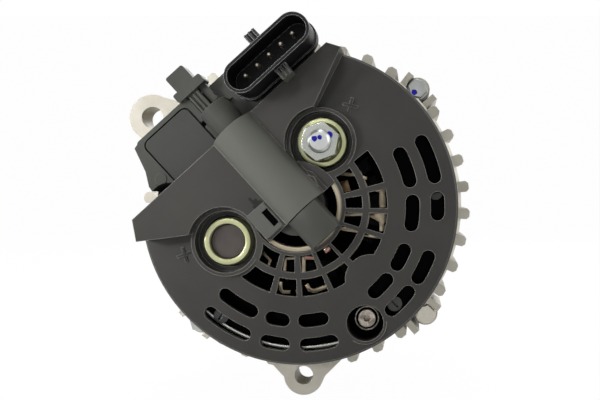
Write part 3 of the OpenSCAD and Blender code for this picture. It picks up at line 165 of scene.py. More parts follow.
# Floor and the wall that it curves up into, in metres
FLOOR_DROP = 0.0005
SWEEP_WIDTH = 6
SWEEP_LENGTH = 4
SWEEP_START = -1.6
WALL_START = 1.2
WALL_RADIUS = 0.9
PAPER_GLOW_SHARE = 0.98
floor_z = cad_box[0][2] - FLOOR_DROP
bpy.ops.mesh.primitive_grid_add(x_subdivisions=2, y_subdivisions=40, size=1, location=(0, 0, 0))
sweep = bpy.context.active_object
sweep.name = "studio_sweep"
for v in sweep.data.vertices:
    v.co.x *= SWEEP_WIDTH
    along = (v.co.y + 0.5) * SWEEP_LENGTH + SWEEP_START
    if along < WALL_START:
        v.co.y, v.co.z = along, floor_z
    else:
        turn = min((along - WALL_START) / WALL_RADIUS, math.pi / 2)
        rest = max(0, along - WALL_START - WALL_RADIUS * math.pi / 2)
        v.co.y = WALL_START + WALL_RADIUS * math.sin(turn)
        v.co.z = floor_z + WALL_RADIUS * (1 - math.cos(turn)) + rest
bpy.ops.object.shade_smooth()
sweep_finish = bpy.data.materials.new("sweep_paper")
sweep_finish.use_nodes = True
paper_nodes = sweep_finish.node_tree.nodes
paper_links = sweep_finish.node_tree.links
paper = paper_nodes["Principled BSDF"]
paper.inputs["Base Color"].default_value = (0.9, 0.9, 0.9, 1)
paper.inputs["Roughness"].default_value = 0.9
paper.inputs["Specular IOR Level"].default_value = 0.1
paper_glow = paper_nodes.new("ShaderNodeEmission")
paper_mix = paper_nodes.new("ShaderNodeMixShader")
paper_path = paper_nodes.new("ShaderNodeLightPath")
paper_share = paper_nodes.new("ShaderNodeMath")
paper_share.operation = "MULTIPLY"
paper_share.inputs[1].default_value = PAPER_GLOW_SHARE
paper_links.new(seen_directly(sweep_finish.node_tree, paper_path), paper_share.inputs[0])
paper_links.new(paper_share.outputs[0], paper_mix.inputs[0])
paper_links.new(paper.outputs[0], paper_mix.inputs[1])
paper_links.new(paper_glow.outputs[0], paper_mix.inputs[2])
paper_links.new(paper_mix.outputs[0], paper_nodes["Material Output"].inputs[0])
sweep.data.materials.clear()
sweep.data.materials.append(sweep_finish)
bpy.ops.object.select_all(action="DESELECT")


# Shader groups shared by the finishes
EDGE_GAIN = 7.0


def new_group(name, inputs, outputs):
    """An empty shader group with its sockets, and its two end nodes"""
    group = bpy.data.node_groups.new(name, "ShaderNodeTree")
    for socket, kind, value in inputs:
        made = group.interface.new_socket(socket, in_out="INPUT", socket_type=kind)
        made.default_value = value
    for socket, kind in outputs:
        group.interface.new_socket(socket, in_out="OUTPUT", socket_type=kind)
    return group, group.nodes.new("NodeGroupInput"), group.nodes.new("NodeGroupOutput")


def math_node(tree, kind, a, b=None, clamp=False):
    """A sum on sockets or numbers"""
    node = tree.nodes.new("ShaderNodeMath")
    node.operation = kind
    node.use_clamp = clamp
    for i, value in enumerate((a, b)):
        if value is None:
            continue
        if isinstance(value, (int, float)):
            node.inputs[i].default_value = value
        else:
            tree.links.new(value, node.inputs[i])
    return node.outputs[0]


def rounded_edges_group():
    """Rounds sharp edges in the light, and tells how near a place is to one"""
    group, take, give = new_group("rounded_edges",
        [("Radius", "NodeSocketFloat", 0.0004)],
        [("Normal", "NodeSocketVector"), ("Edge", "NodeSocketFloat")])
    bevel = group.nodes.new("ShaderNodeBevel")
    bevel.samples = 4
    group.links.new(take.outputs["Radius"], bevel.inputs["Radius"])
    geometry = group.nodes.new("ShaderNodeNewGeometry")
    dot = group.nodes.new("ShaderNodeVectorMath")
    dot.operation = "DOT_PRODUCT"
    group.links.new(bevel.outputs[0], dot.inputs[0])
    group.links.new(geometry.outputs["Normal"], dot.inputs[1])
    off = math_node(group, "SUBTRACT", 1.0, dot.outputs["Value"])
    edge = math_node(group, "MULTIPLY", off, EDGE_GAIN, clamp=True)
    group.links.new(bevel.outputs[0], give.inputs["Normal"])
    group.links.new(edge, give.inputs["Edge"])
    return group


def surface_group():
    """Grain for bump, and slow blotches for colour and gloss"""
    group, take, give = new_group("grain_and_blotches",
        [("Grain Scale", "NodeSocketFloat", 900), ("Blotch Scale", "NodeSocketFloat", 60),
         ("Stretch", "NodeSocketVector", (1, 1, 1))],
        [("Grain", "NodeSocketFloat"), ("Blotch", "NodeSocketFloat")])
    place = group.nodes.new("ShaderNodeTexCoord")
    stretch = group.nodes.new("ShaderNodeVectorMath")
    stretch.operation = "MULTIPLY"
    group.links.new(place.outputs["Object"], stretch.inputs[0])
    group.links.new(take.outputs["Stretch"], stretch.inputs[1])
    fine = group.nodes.new("ShaderNodeTexNoise")
    fine.inputs["Detail"].default_value = 3
    fine.inputs["Roughness"].default_value = 0.6
    group.links.new(stretch.outputs[0], fine.inputs["Vector"])
    group.links.new(take.outputs["Grain Scale"], fine.inputs["Scale"])
    slow = group.nodes.new("ShaderNodeTexNoise")
    slow.inputs["Detail"].default_value = 4
    slow.inputs["Roughness"].default_value = 0.55
    group.links.new(place.outputs["Object"], slow.inputs["Vector"])
    group.links.new(take.outputs["Blotch Scale"], slow.inputs["Scale"])
    spread = group.nodes.new("ShaderNodeMapRange")
    spread.inputs["From Min"].default_value = 0.32
    spread.inputs["From Max"].default_value = 0.68
    group.links.new(slow.outputs["Fac"], spread.inputs["Value"])
    group.links.new(fine.outputs["Fac"], give.inputs["Grain"])
    group.links.new(spread.outputs[0], give.inputs["Blotch"])
    return group


def deep_group():
    """How deep a place lies between other pieces, where the finishes paint shade"""
    group, take, give = new_group("deep_places", [("Reach", "NodeSocketFloat", 0.02)],
        [("Deep", "NodeSocketFloat")])
    hidden = group.nodes.new("ShaderNodeAmbientOcclusion")
    hidden.samples = 4
    group.links.new(take.outputs["Reach"], hidden.inputs["Distance"])
    spread = group.nodes.new("ShaderNodeMapRange")
    spread.inputs["From Min"].default_value = 0.62
    spread.inputs["From Max"].default_value = 0.18
    group.links.new(hidden.outputs["AO"], spread.inputs["Value"])
    group.links.new(spread.outputs[0], give.inputs["Deep"])
    return group


def under_cover_shade_group():
    """1 in the room between the rear cover and the end housing, which lies in the dark and is
    painted black there as painted shade: a cylinder about the shaft, its sizes in metres"""
    group, take, give = new_group("under_cover_painted_shade",
        [("Radius", "NodeSocketFloat", 0.0703), ("From", "NodeSocketFloat", 0.11),
         ("To", "NodeSocketFloat", 0.1515)],
        [("Inside", "NodeSocketFloat")])
    coord = group.nodes.new("ShaderNodeTexCoord")
    split = group.nodes.new("ShaderNodeSeparateXYZ")
    group.links.new(coord.outputs["Object"], split.inputs[0])
    across = math_node(group, "MULTIPLY", split.outputs["X"], split.outputs["X"])
    up = math_node(group, "MULTIPLY", split.outputs["Z"], split.outputs["Z"])
    radius = math_node(group, "SQRT", math_node(group, "ADD", across, up))
    station = math_node(group, "MULTIPLY", split.outputs["Y"], -1.0)
    near = math_node(group, "LESS_THAN", radius, take.outputs["Radius"])
    behind = math_node(group, "GREATER_THAN", station, take.outputs["From"])
    before = math_node(group, "LESS_THAN", station, take.outputs["To"])
    both = math_node(group, "MULTIPLY", behind, before)
    group.links.new(math_node(group, "MULTIPLY", near, both), give.inputs["Inside"])
    return group


UNDER_COVER_SHADE = under_cover_shade_group()
DEEP = deep_group()
ROUNDED_EDGES = rounded_edges_group()
GRAIN = surface_group()

# Colours as seen, the blacks of painted shade, and the scale of a paint dab's ragged edge
BLUE = (36, 34, 140)
CAVITY_SHADE_BLACK = (22, 21, 20)
SHADE_BLACK = (5, 5, 5)
DAB_RAGGEDNESS = 420


def mix_colour(tree, share, a, b):
    """From colour a to colour b by the share"""
    node = tree.nodes.new("ShaderNodeMix")
    node.data_type = "RGBA"
    for socket, value in ((node.inputs["Factor"], share), (node.inputs["A"], a), (node.inputs["B"], b)):
        if isinstance(value, (int, float, tuple)):
            socket.default_value = value
        else:
            tree.links.new(value, socket)
    return node.outputs["Result"]


def finish(name, colour, other, edge_colour, rough, metal=0.0, grain=900, bump=0.02, blotch=60,
           edge_share=0.5, radius=0.0004, gloss_change=0.12, stretch=(1, 1, 1), coat=0.0, dab=(),
           cavity_shade=0.0, cavity_shade_reach=20, inside=0.0, shade_zones=(), marks=(), gloss=0.5):
    """A finish: two slow colours, a paler or darker edge (partly wear, partly painted highlight),
    grain in the bump and a rounded edge. Painted shade darkens deep places and what lies under
    the cover, the black zones are painted shade, marks are zones with a colour of their own, some
    of which is painted light or shade, and dabs are spots of paint. Bump and the reach of the
    painted shade in deep places are in millimetres, radius in metres."""
    material = bpy.data.materials.new(name)
    material.use_nodes = True
    tree = material.node_tree
    shader = tree.nodes["Principled BSDF"]
    shader.inputs["Metallic"].default_value = metal
    shader.inputs["Coat Weight"].default_value = coat
    shader.inputs["Specular IOR Level"].default_value = gloss
    if coat:
        shader.inputs["Coat Roughness"].default_value = 0.12
    edges = tree.nodes.new("ShaderNodeGroup")
    edges.node_tree = ROUNDED_EDGES
    edges.inputs["Radius"].default_value = radius
    surface = tree.nodes.new("ShaderNodeGroup")
    surface.node_tree = GRAIN
    surface.inputs["Grain Scale"].default_value = grain
    surface.inputs["Blotch Scale"].default_value = blotch
    surface.inputs["Stretch"].default_value = stretch
    base = mix_colour(tree, surface.outputs["Blotch"], tone(*colour), tone(*other))
    # Paler edges: partly wear, partly a painted highlight where edges catch the light
    edge_wear_and_highlight = math_node(tree, "MULTIPLY", edges.outputs["Edge"], edge_share)
    seen = mix_colour(tree, edge_wear_and_highlight, base, tone(*edge_colour))
    for mark in marks:
        seen = mix_colour(tree, zone_mask(tree, mark["limits"], mark.get("frame", SHAFT)), seen,
                          mix_colour(tree, edge_wear_and_highlight, tone(*mark["colour"]), tone(*mark["edge"])))
    for one in dab:
        seen = paint_dab(tree, seen, **one)
    # Painted shade: deep places between pieces are painted darker, from ambient occlusion
    if cavity_shade:
        deep = tree.nodes.new("ShaderNodeGroup")
        deep.node_tree = DEEP
        deep.inputs["Reach"].default_value = cavity_shade_reach * MM
        cavity_shade_share = math_node(tree, "MULTIPLY", deep.outputs["Deep"], cavity_shade)
        seen = mix_colour(tree, cavity_shade_share, seen, tone(*CAVITY_SHADE_BLACK))
    dark = None
    # Painted shade: what lies under the cover is painted black, standing in for the shade there
    if inside:
        under = tree.nodes.new("ShaderNodeGroup")
        under.node_tree = UNDER_COVER_SHADE
        dark = math_node(tree, "MULTIPLY", under.outputs["Inside"], inside)
    # Painted shade: listed zones are painted black where recesses lie in shade
    for shade_zone in shade_zones:
        one = zone_mask(tree, shade_zone["limits"], shade_zone.get("frame", SHAFT))
        dark = one if dark is None else math_node(tree, "MAXIMUM", dark, one)
    # Painted shade is black and metallic, so that it takes no diffuse light
    if dark is not None:
        seen = mix_colour(tree, dark, seen, tone(*SHADE_BLACK))
        tree.links.new(math_node(tree, "MAXIMUM", dark, metal), shader.inputs["Metallic"])
    tree.links.new(seen, shader.inputs["Base Color"])
    change = math_node(tree, "MULTIPLY", surface.outputs["Blotch"], gloss_change)
    tree.links.new(math_node(tree, "ADD", change, rough - gloss_change / 2), shader.inputs["Roughness"])
    relief = tree.nodes.new("ShaderNodeBump")
    relief.inputs["Strength"].default_value = 1.0
    relief.inputs["Distance"].default_value = bump * MM
    tree.links.new(surface.outputs["Grain"], relief.inputs["Height"])
    tree.links.new(edges.outputs["Normal"], relief.inputs["Normal"])
    tree.links.new(relief.outputs[0], shader.inputs["Normal"])
    return material


def zone_mask(tree, limits, place):
    """1 inside a box of the given frame, in millimetres: ((low, high) or None) for each axis"""
    coord = tree.nodes.new("ShaderNodeTexCoord")
    mask = None
    back = place.inverted()
    for axis, span in enumerate(limits):
        if span is None:
            continue
        along = tree.nodes.new("ShaderNodeVectorMath")
        along.operation = "DOT_PRODUCT"
        along.inputs[1].default_value = back[axis][:3]
        tree.links.new(coord.outputs["Object"], along.inputs[0])
        for kind, limit in zip(("GREATER_THAN", "LESS_THAN"), span):
            if limit is None:
                continue
            one = math_node(tree, kind, along.outputs["Value"], limit)
            mask = one if mask is None else math_node(tree, "MULTIPLY", mask, one)
    return mask


def paint_dab(tree, under, centre, size, colour):
    """An inspector's paint dab: a ragged blot about one point"""
    place = tree.nodes.new("ShaderNodeTexCoord")
    away = tree.nodes.new("ShaderNodeVectorMath")
    away.operation = "DISTANCE"
    away.inputs[1].default_value = [c * MM for c in centre]
    tree.links.new(place.outputs["Object"], away.inputs[0])
    ragged = tree.nodes.new("ShaderNodeTexNoise")
    ragged.inputs["Scale"].default_value = DAB_RAGGEDNESS
    tree.links.new(place.outputs["Object"], ragged.inputs["Vector"])
    push = math_node(tree, "MULTIPLY", ragged.outputs["Fac"], size * MM)
    reach = math_node(tree, "ADD", away.outputs["Value"], push)
    inside = math_node(tree, "LESS_THAN", reach, 1.5 * size * MM)
    return mix_colour(tree, inside, under, tone(*colour))


def dabs(*places):
    """Blue dabs at places given as a point and a size, in millimetres"""
    return [{"centre": place, "size": size, "colour": BLUE} for place, size in places]


# Paint dabs, and places of the bolts and the nut with a colour of their own
LOWER_BOLT_MARK = {"limits": ((0, None), (None, 0), None), "colour": (186, 182, 170),
                   "edge": (216, 212, 202)}
BOLT_DABS = dabs(((51.2, -125.5, 54.6), 1.5), ((54.4, -124.5, 51.6), 1.3))
NUT_DABS = dabs(((15.0, -167.8, 31.2), 1.3), ((17.6, -163.0, 33.4), 1.9), ((18.8, -160.2, 33.0), 1.5))
STUD_DABS = dabs(((8.9, -170.1, 29.2), 1.3), ((10.9, -170.1, 29.7), 1.0))
NUT_FLANGE_MARK = {"limits": (None, None, (100, 160.4)), "colour": (176, 178, 136),
                   "edge": (236, 236, 210)}
# Places of the rear cover and the regulator with a colour of their own, and places with painted light and
# shade
# Painted light: the barrel is painted lighter than the rest of the cover, for light on its crown
BARREL_PAINTED_LIGHT = {"frame": BARREL, "limits": ((-45, 4.2), (-7.9, 13.9), (166.15, None)),
               "colour": (88, 89, 83), "edge": (118, 119, 112)}
CLIP_MARK = {"frame": BARREL, "limits": ((-11, 3.6), (-18.5, -8.4), (165, 168)),
             "colour": (84, 84, 80), "edge": (118, 118, 114)}
# Painted shade: the clip's slot is painted black, and steps of dark grey beside the clip paint the shade of
# its recess
CLIP_SLOT_SHADE = {"frame": BARREL, "limits": ((-8, 0), (-12.2, -9.4), (160, 168))}
CLIP_PAINTED_SHADES = [{"frame": BARREL, "limits": (along, across, (160, 168)), "colour": (30, 30, 29),
                "edge": (44, 44, 42)}
               for along, across in (((-12.6, -11), (-13.4, -8.8)), ((-14.4, -12.6), (-12.6, -9.8)),
                                     ((-16.4, -14.4), (-12.6, -11.4)))]
# The connector shell is near black; its pale edge colour is a painted highlight along the rim
SHELL_MARK = {"frame": BARREL, "limits": ((None, -44.5), (13, None), (157.5, None)),
              "colour": (15, 15, 16), "edge": (240, 240, 238)}

# The finish of each material slot, and those of single nodes and pieces
FINISHES = {
    "cast_aluminium": finish("cast_aluminium", (200, 196, 184), (178, 173, 160), (228, 225, 215), 0.5,
        metal=0.3, grain=1500, bump=0.08, blotch=45, edge_share=0.6, cavity_shade=0.55, cavity_shade_reach=7, inside=1.0),
    "lamination": finish("lamination", (112, 110, 106), (84, 82, 79), (150, 148, 143), 0.55, metal=0.5,
        grain=1400, bump=0.05, stretch=(0.2, 9, 0.2)),
    "copper_winding": finish("copper_winding", (176, 96, 52), (140, 70, 36), (214, 140, 96), 0.35,
        metal=0.7, grain=700, bump=0.05),
    "copper_bare": finish("copper_bare", (205, 140, 104), (184, 116, 82), (236, 190, 160), 0.28, metal=1,
        grain=900, bump=0.015, inside=1.0),
    "lead_copper": finish("lead_copper", (220, 176, 158), (180, 128, 110), (236, 208, 196), 0.3, metal=0.8,
        grain=900, bump=0.02),
    "lead_tin": finish("lead_tin", (214, 200, 172), (168, 152, 126), (240, 232, 214), 0.34, metal=0.7,
        grain=1100, bump=0.03, blotch=160),
    "lead_brass": finish("lead_brass", (156, 126, 92), (120, 92, 64), (240, 226, 196), 0.34, metal=0.6,
        grain=1000, bump=0.02, edge_share=0.9),
    "zinc_steel": finish("zinc_steel", (186, 188, 184), (150, 152, 150), (232, 234, 232), 0.3, metal=0.9,
        grain=1300, bump=0.02, radius=0.00035),
    "dull_zinc": finish("dull_zinc", (128, 128, 126), (92, 92, 90), (214, 214, 212), 0.34, metal=0.9,
        grain=1300, bump=0.02, radius=0.00035, inside=0.72),
    "bolt_zinc": finish("bolt_zinc", (186, 188, 184), (150, 152, 150), (232, 234, 232), 0.3, metal=0.9,
        grain=1300, bump=0.02, radius=0.00035, dab=BOLT_DABS,
        marks=(LOWER_BOLT_MARK,)),
    "nut_zinc": finish("nut_zinc", (182, 184, 178), (146, 148, 142), (236, 238, 234), 0.26, metal=0.9,
        grain=1300, bump=0.02, radius=0.0004, dab=NUT_DABS, cavity_shade=0.5, cavity_shade_reach=3,
        marks=(NUT_FLANGE_MARK,)),
    "stud_zinc": finish("stud_zinc", (196, 198, 196), (168, 170, 168), (240, 242, 240), 0.32, metal=0.9,
        grain=1500, bump=0.03, radius=0.0003, dab=STUD_DABS),
    "screw_zinc": finish("screw_zinc", (196, 186, 176), (150, 140, 126), (236, 232, 224), 0.36, metal=0.8,
        grain=700, bump=0.12, blotch=420, radius=0.0005, edge_share=0.9, gloss_change=0.3),
    "yellow_zinc": finish("yellow_zinc", (196, 198, 156), (170, 172, 128), (244, 244, 224), 0.32,
        metal=0.7, grain=1100, bump=0.02, radius=0.0006, edge_share=1.0),
    "bearing_steel": finish("bearing_steel", (190, 190, 192), (170, 170, 172), (220, 220, 222), 0.18,
        metal=1, grain=1100, bump=0.008, inside=1.0),
    "cage": finish("cage", (186, 160, 100), (160, 134, 78), (210, 190, 140), 0.35, metal=0.8),
    "shaft_steel": finish("shaft_steel", (158, 158, 160), (134, 134, 136), (190, 190, 192), 0.3, metal=1,
        grain=1200, bump=0.02, stretch=(1, 7, 1)),
    "pole_iron": finish("pole_iron", (92, 92, 94), (72, 72, 74), (130, 130, 132), 0.5, metal=0.5,
        grain=900, bump=0.06),
    "sheet_steel": finish("sheet_steel", (160, 160, 163), (134, 134, 138), (196, 196, 198), 0.35,
        metal=0.9, grain=1000, bump=0.02),
    # Painted shade: the rear fan is painted near black all over, standing in for the shade under the end
    # housing
    "fan_painted_shade": finish("fan_painted_shade", (34, 34, 35), (26, 26, 27), (70, 70, 72), 0.45, metal=0.6,
        grain=1000, bump=0.02),
    "bobbin_plastic": finish("bobbin_plastic", (206, 190, 150), (190, 172, 130), (222, 208, 174), 0.5),
    "pulley_steel": finish("pulley_steel", (40, 40, 42), (30, 30, 32), (80, 80, 82), 0.35, metal=0.2,
        grain=1200, bump=0.03, coat=0.25),
    # The cover's pale edge colour is a painted highlight along its slots' edges
    "cover_plastic": finish("cover_plastic", (60, 59, 56), (54, 53, 51), (176, 174, 166), 0.44,
        grain=1900, bump=0.035, blotch=35, edge_share=0.9, gloss_change=0.08, inside=1.0, gloss=0.18,
        marks=(BARREL_PAINTED_LIGHT, CLIP_MARK, *CLIP_PAINTED_SHADES), shade_zones=(CLIP_SLOT_SHADE,)),
    "regulator_plastic": finish("regulator_plastic", (66, 67, 62), (59, 60, 56), (112, 113, 107), 0.44,
        grain=1700, bump=0.04, blotch=50, edge_share=0.5, gloss_change=0.1, gloss=0.2, inside=1.0,
        marks=(SHELL_MARK,)),
    "lid_plastic": finish("lid_plastic", (58, 59, 55), (53, 54, 51), (94, 95, 91), 0.44,
        grain=1700, bump=0.03, blotch=80, edge_share=0.4, gloss=0.2),
    "board_plastic": finish("board_plastic", (30, 30, 30), (22, 22, 22), (60, 60, 60), 0.45,
        grain=1500, bump=0.03, inside=1.0, gloss=0.2),
    # The signs' pale edge colour is a painted highlight on their edges
    "sign_plastic": finish("sign_plastic", (46, 46, 44), (42, 42, 40), (190, 189, 180), 0.44,
        grain=1900, bump=0.035, radius=0.0003, edge_share=0.9, gloss=0.2),
    "plug_plastic": finish("plug_plastic", (84, 78, 74), (66, 61, 58), (110, 104, 98), 0.5,
        grain=1500, bump=0.04, gloss=0.2),
    "tinned": finish("tinned", (220, 212, 192), (198, 190, 170), (240, 236, 224), 0.3, metal=0.8,
        grain=1200, bump=0.02),
    "ring_aluminium": finish("ring_aluminium", (176, 166, 144), (142, 132, 112), (232, 226, 210), 0.36,
        metal=0.6, grain=1300, bump=0.04, blotch=120),
    # Painted shade and painted highlight: the heat sinks are dark grey for the shade under the cover, with
    # pale edges as painted highlights
    "sink_aluminium": finish("sink_aluminium", (92, 92, 92), (66, 66, 68), (226, 224, 218), 0.3,
        metal=0.8, grain=1200, bump=0.03, stretch=(6, 1, 1), inside=1.0),
    "rim_aluminium": finish("rim_aluminium", (214, 212, 206), (176, 174, 168), (240, 240, 236), 0.26,
        metal=0.8, grain=1200, bump=0.03, blotch=200),
    "diode_case": finish("diode_case", (120, 120, 124), (98, 98, 102), (204, 204, 206), 0.28, metal=0.9,
        inside=1.0),
    "carbon": finish("carbon", (50, 50, 50), (38, 38, 38), (76, 76, 76), 0.55),
    "spring_steel": finish("spring_steel", (178, 178, 180), (150, 150, 152), (206, 206, 208), 0.25,
        metal=1),
}

# Nodes whose finish differs from their slot's own
FINISH_OF = {"cover_screw": "screw_zinc", "rectifier_screws": "dull_zinc",
             "regulator_screws": "dull_zinc", "through_bolts": "bolt_zinc",
             "terminal_nut": "nut_zinc", "terminal_stud": "stud_zinc", "rear_fan": "fan_painted_shade"}
SLOT_OF = {part["node"]: part["material_slot"] for part in frame["record"]["subparts"]}


def paint(obj, material):
    obj.data.materials.clear()
    obj.data.materials.append(material)


for node, obj in NODES.items():
    paint(obj, FINISHES[FINISH_OF.get(node, SLOT_OF[node])])


# Modelling helpers
def deselect():
    """Leave edit mode and select nothing"""
    if bpy.context.object and bpy.context.object.mode != "OBJECT":
        bpy.ops.object.mode_set(mode="OBJECT")
    bpy.ops.object.select_all(action="DESELECT")


def start(name):
    """Name the primitive just added"""
    piece = bpy.context.active_object
    piece.name = name
    return piece


def settle(piece, place):
    """Put the piece's place into its mesh and leave the object at the origin"""
    full = place @ piece.matrix_world
    piece.data.transform(full)
    piece.matrix_world = Matrix.Identity(4)
    if full.determinant() < 0:
        piece.data.flip_normals()
    piece.data.update()
    return piece


def use_modifier(piece, kind, **values):
    """Add a modifier and apply it"""
    bpy.context.view_layer.objects.active = piece
    piece.select_set(True)
    made = piece.modifiers.new(kind.lower(), kind)
    for key, value in values.items():
        setattr(made, key, value)
    bpy.ops.object.modifier_apply(modifier=made.name)
    piece.select_set(False)


def dress(piece, slot, body="stator_side", smooth=35, look=None):
    """Finish, smooth shading and the body the piece rides on"""
    paint(piece, FINISHES[look or slot])
    deselect()
    bpy.context.view_layer.objects.active = piece
    piece.select_set(True)
    bpy.ops.object.shade_smooth_by_angle(angle=math.radians(smooth))
    deselect()
    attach(piece, body)
    return piece


# Radius of the small hole that the end of a closed turned piece is filled over
POLE = 0.05


def turned(name, profile, place=SHAFT, centre=(0, 0), sides=48, closed=False):
    """A turned piece: a circle extruded ring by ring through (radius, station) pairs. A profile
    that comes back to its start makes a ring, and closed fills both ends of an open one."""
    deselect()
    bpy.ops.mesh.primitive_circle_add(vertices=sides, radius=profile[0][0], fill_type="NOTHING",
                                      location=(0, 0, profile[0][1]))
    piece = start(name)
    bpy.ops.object.mode_set(mode="EDIT")
    bpy.ops.mesh.select_mode(type="VERT")
    bpy.ops.mesh.select_all(action="SELECT")
    here = profile[0][0]
    for (radius, station), (_, before) in zip(profile[1:], profile):
        bpy.ops.mesh.extrude_region_move(TRANSFORM_OT_translate={"value": (0, 0, station - before)})
        bpy.ops.transform.resize(value=(radius / here, radius / here, 1), center_override=(0, 0, station))
        here = radius
    bpy.ops.mesh.select_all(action="SELECT")
    bpy.ops.mesh.remove_doubles(threshold=0.0001)
    if closed:
        bpy.ops.mesh.select_all(action="DESELECT")
        bpy.ops.mesh.select_mode(type="EDGE")
        bpy.ops.mesh.select_non_manifold(extend=False)
        bpy.ops.mesh.fill_holes(sides=0)
    bpy.ops.mesh.select_all(action="SELECT")
    bpy.ops.mesh.normals_make_consistent(inside=False)
    bpy.ops.object.mode_set(mode="OBJECT")
    return settle(piece, place @ Matrix.Translation((centre[0], centre[1], 0)))


def threaded(name, radius, pitch, low, high, centre):
    """A threaded rod: its radius follows the thread's helix, with a chamfered free end"""
    depth = 0.55 * pitch
    chamfer = 1.2
    rings_per_turn = 6
    flank = 1.35
    crest = 0.12
    steps = max(8, int((high - low) / pitch * rings_per_turn))
    profile = [(POLE, low), (radius, low)]
    profile += [(radius, low + (high - low) * i / steps) for i in range(1, steps + 1)]
    profile += [(POLE, high)]
    piece = turned(name, profile, Matrix.Identity(4), sides=36, closed=True)
    for v in piece.data.vertices:
        here = math.hypot(v.co.x, v.co.y)
        if here < radius / 2 or not low + 0.01 < v.co.z < high + 0.01:
            continue
        phase = (v.co.z / pitch - math.atan2(v.co.y, v.co.x) / (2 * math.pi)) % 1
        groove = depth * max(0, min(1, flank * (1 - abs(2 * phase - 1)) - crest))
        end = max(0, v.co.z - (high - chamfer))
        new = min(radius - groove, radius - end)
        v.co.x *= new / here
        v.co.y *= new / here
    return settle(piece, SHAFT @ Matrix.Translation((centre[0], centre[1], 0)))


def seat_height(node, x, y):
    """How far back the node's face lies at a place of the shaft's frame, in millimetres"""
    far_behind = 400
    origin = SHAFT @ Vector((x, y, far_behind))
    towards = (SHAFT @ Vector((x, y, 0)) - origin).normalized()
    hit, where, _, _ = NODES[node].ray_cast(origin, towards)
    return -where.y / MM if hit else None


def cut_out(name, outline, low, high, place=SHAFT, edge=0.25):
    """A flat piece: an outline in millimetres, extruded from low to high, with bevelled edges"""
    deselect()
    bpy.ops.mesh.primitive_circle_add(vertices=len(outline), radius=1, fill_type="NGON")
    piece = start(name)
    for v, (x, y) in zip(piece.data.vertices, outline):
        v.co = (x, y, low)
    bpy.ops.object.mode_set(mode="EDIT")
    bpy.ops.mesh.select_mode(type="FACE")
    bpy.ops.mesh.select_all(action="SELECT")
    bpy.ops.mesh.extrude_region_move(TRANSFORM_OT_translate={"value": (0, 0, high - low)})
    bpy.ops.mesh.select_all(action="SELECT")
    bpy.ops.mesh.normals_make_consistent(inside=False)
    bpy.ops.object.mode_set(mode="OBJECT")
    if edge:
        use_modifier(piece, "BEVEL", width=edge, segments=2, limit_method="ANGLE",
                     angle_limit=math.radians(40))
    return settle(piece, place)


def ribbon(points, width):
    """The outline of a strip of even width along a line of points"""
    sides = ([], [])
    for i, here in enumerate(points):
        here = Vector(here)
        before = Vector(points[max(i - 1, 0)])
        after = Vector(points[min(i + 1, len(points) - 1)])
        ways = [w.normalized() for w in (here - before, after - here) if w.length > 0]
        way = sum(ways, Vector((0, 0))).normalized()
        half = width / 2 / max(0.5, way.dot(ways[0]))
        across = Vector((-way.y, way.x)) * half
        sides[0].append(tuple(here + across))
        sides[1].append(tuple(here - across))
    return sides[0] + sides[1][::-1]


def arc(radius, first, last, steps, centre=(0, 0)):
    """Points of an arc from the first to the last angle, in degrees"""
    turns = [math.radians(first + (last - first) * i / steps) for i in range(steps + 1)]
    return [(centre[0] + radius * math.cos(a), centre[1] + radius * math.sin(a)) for a in turns]


def keep_side(piece, point, way):
    """Cut a piece by a plane and keep the side that way points to; the cut is closed"""
    deselect()
    bpy.context.view_layer.objects.active = piece
    piece.select_set(True)
    bpy.ops.object.mode_set(mode="EDIT")
    bpy.ops.mesh.select_all(action="SELECT")
    bpy.ops.mesh.bisect(plane_co=point, plane_no=way, use_fill=True, clear_inner=True, threshold=0.000001)
    bpy.ops.mesh.select_all(action="SELECT")
    bpy.ops.mesh.normals_make_consistent(inside=False)
    bpy.ops.object.mode_set(mode="OBJECT")
    deselect()


def ring(name, inner, outer, low, high, edge=0.35, sides=96, centre=(0, 0)):
    """A ring with rounded rear edges"""
    inside = [(inner, low), (inner, high - edge), (inner + edge / 3, high - edge / 3),
              (inner + edge, high)]
    outside = [(outer - edge, high), (outer - edge / 3, high - edge / 3), (outer, high - edge),
               (outer, low)]
    return turned(name, inside + outside + [(inner, low)], centre=centre, sides=sides)


def plus_sign(name, x, y, turn, arm=3.5, width=1.4, raise_by=0.7, sunk=0.06):
    """A raised plus sign on the rear cover, made from a cube with four arms drawn out"""
    deselect()
    bpy.ops.mesh.primitive_cube_add(size=width, location=(0, 0, 0))
    piece = start(name)
    piece.scale.z = raise_by / width
    bpy.ops.object.transform_apply(location=False, rotation=False, scale=True)
    for direction in ((1, 0, 0), (-1, 0, 0), (0, 1, 0), (0, -1, 0)):
        for face in piece.data.polygons:
            face.select = face.normal.dot(Vector(direction)) > 0.9 and \
                (face.center - Vector(direction) * width / 2).length < 0.01
        for part in (piece.data.vertices, piece.data.edges):
            for p in part:
                p.select = False
        bpy.ops.object.mode_set(mode="EDIT")
        bpy.ops.mesh.select_mode(type="FACE")
        bpy.ops.mesh.extrude_region_move(
            TRANSFORM_OT_translate={"value": [c * (arm - width / 2) for c in direction]})
        bpy.ops.object.mode_set(mode="OBJECT")
    use_modifier(piece, "BEVEL", width=0.16, segments=2, limit_method="ANGLE", angle_limit=math.radians(60))
    seat = seat_height("rear_cover", x, y) + raise_by / 2 - sunk
    settle(piece, SHAFT @ Matrix.Translation((x, y, seat)) @ Matrix.Rotation(math.radians(turn), 4, "Z"))
    return dress(piece, "cover_plastic", look="sign_plastic")


# Plus signs beside the two terminals
plus_sign("plus_sign_right", 23.0, 44.7, -14)
plus_sign("plus_sign_left", -50.4, -21.2, 18)

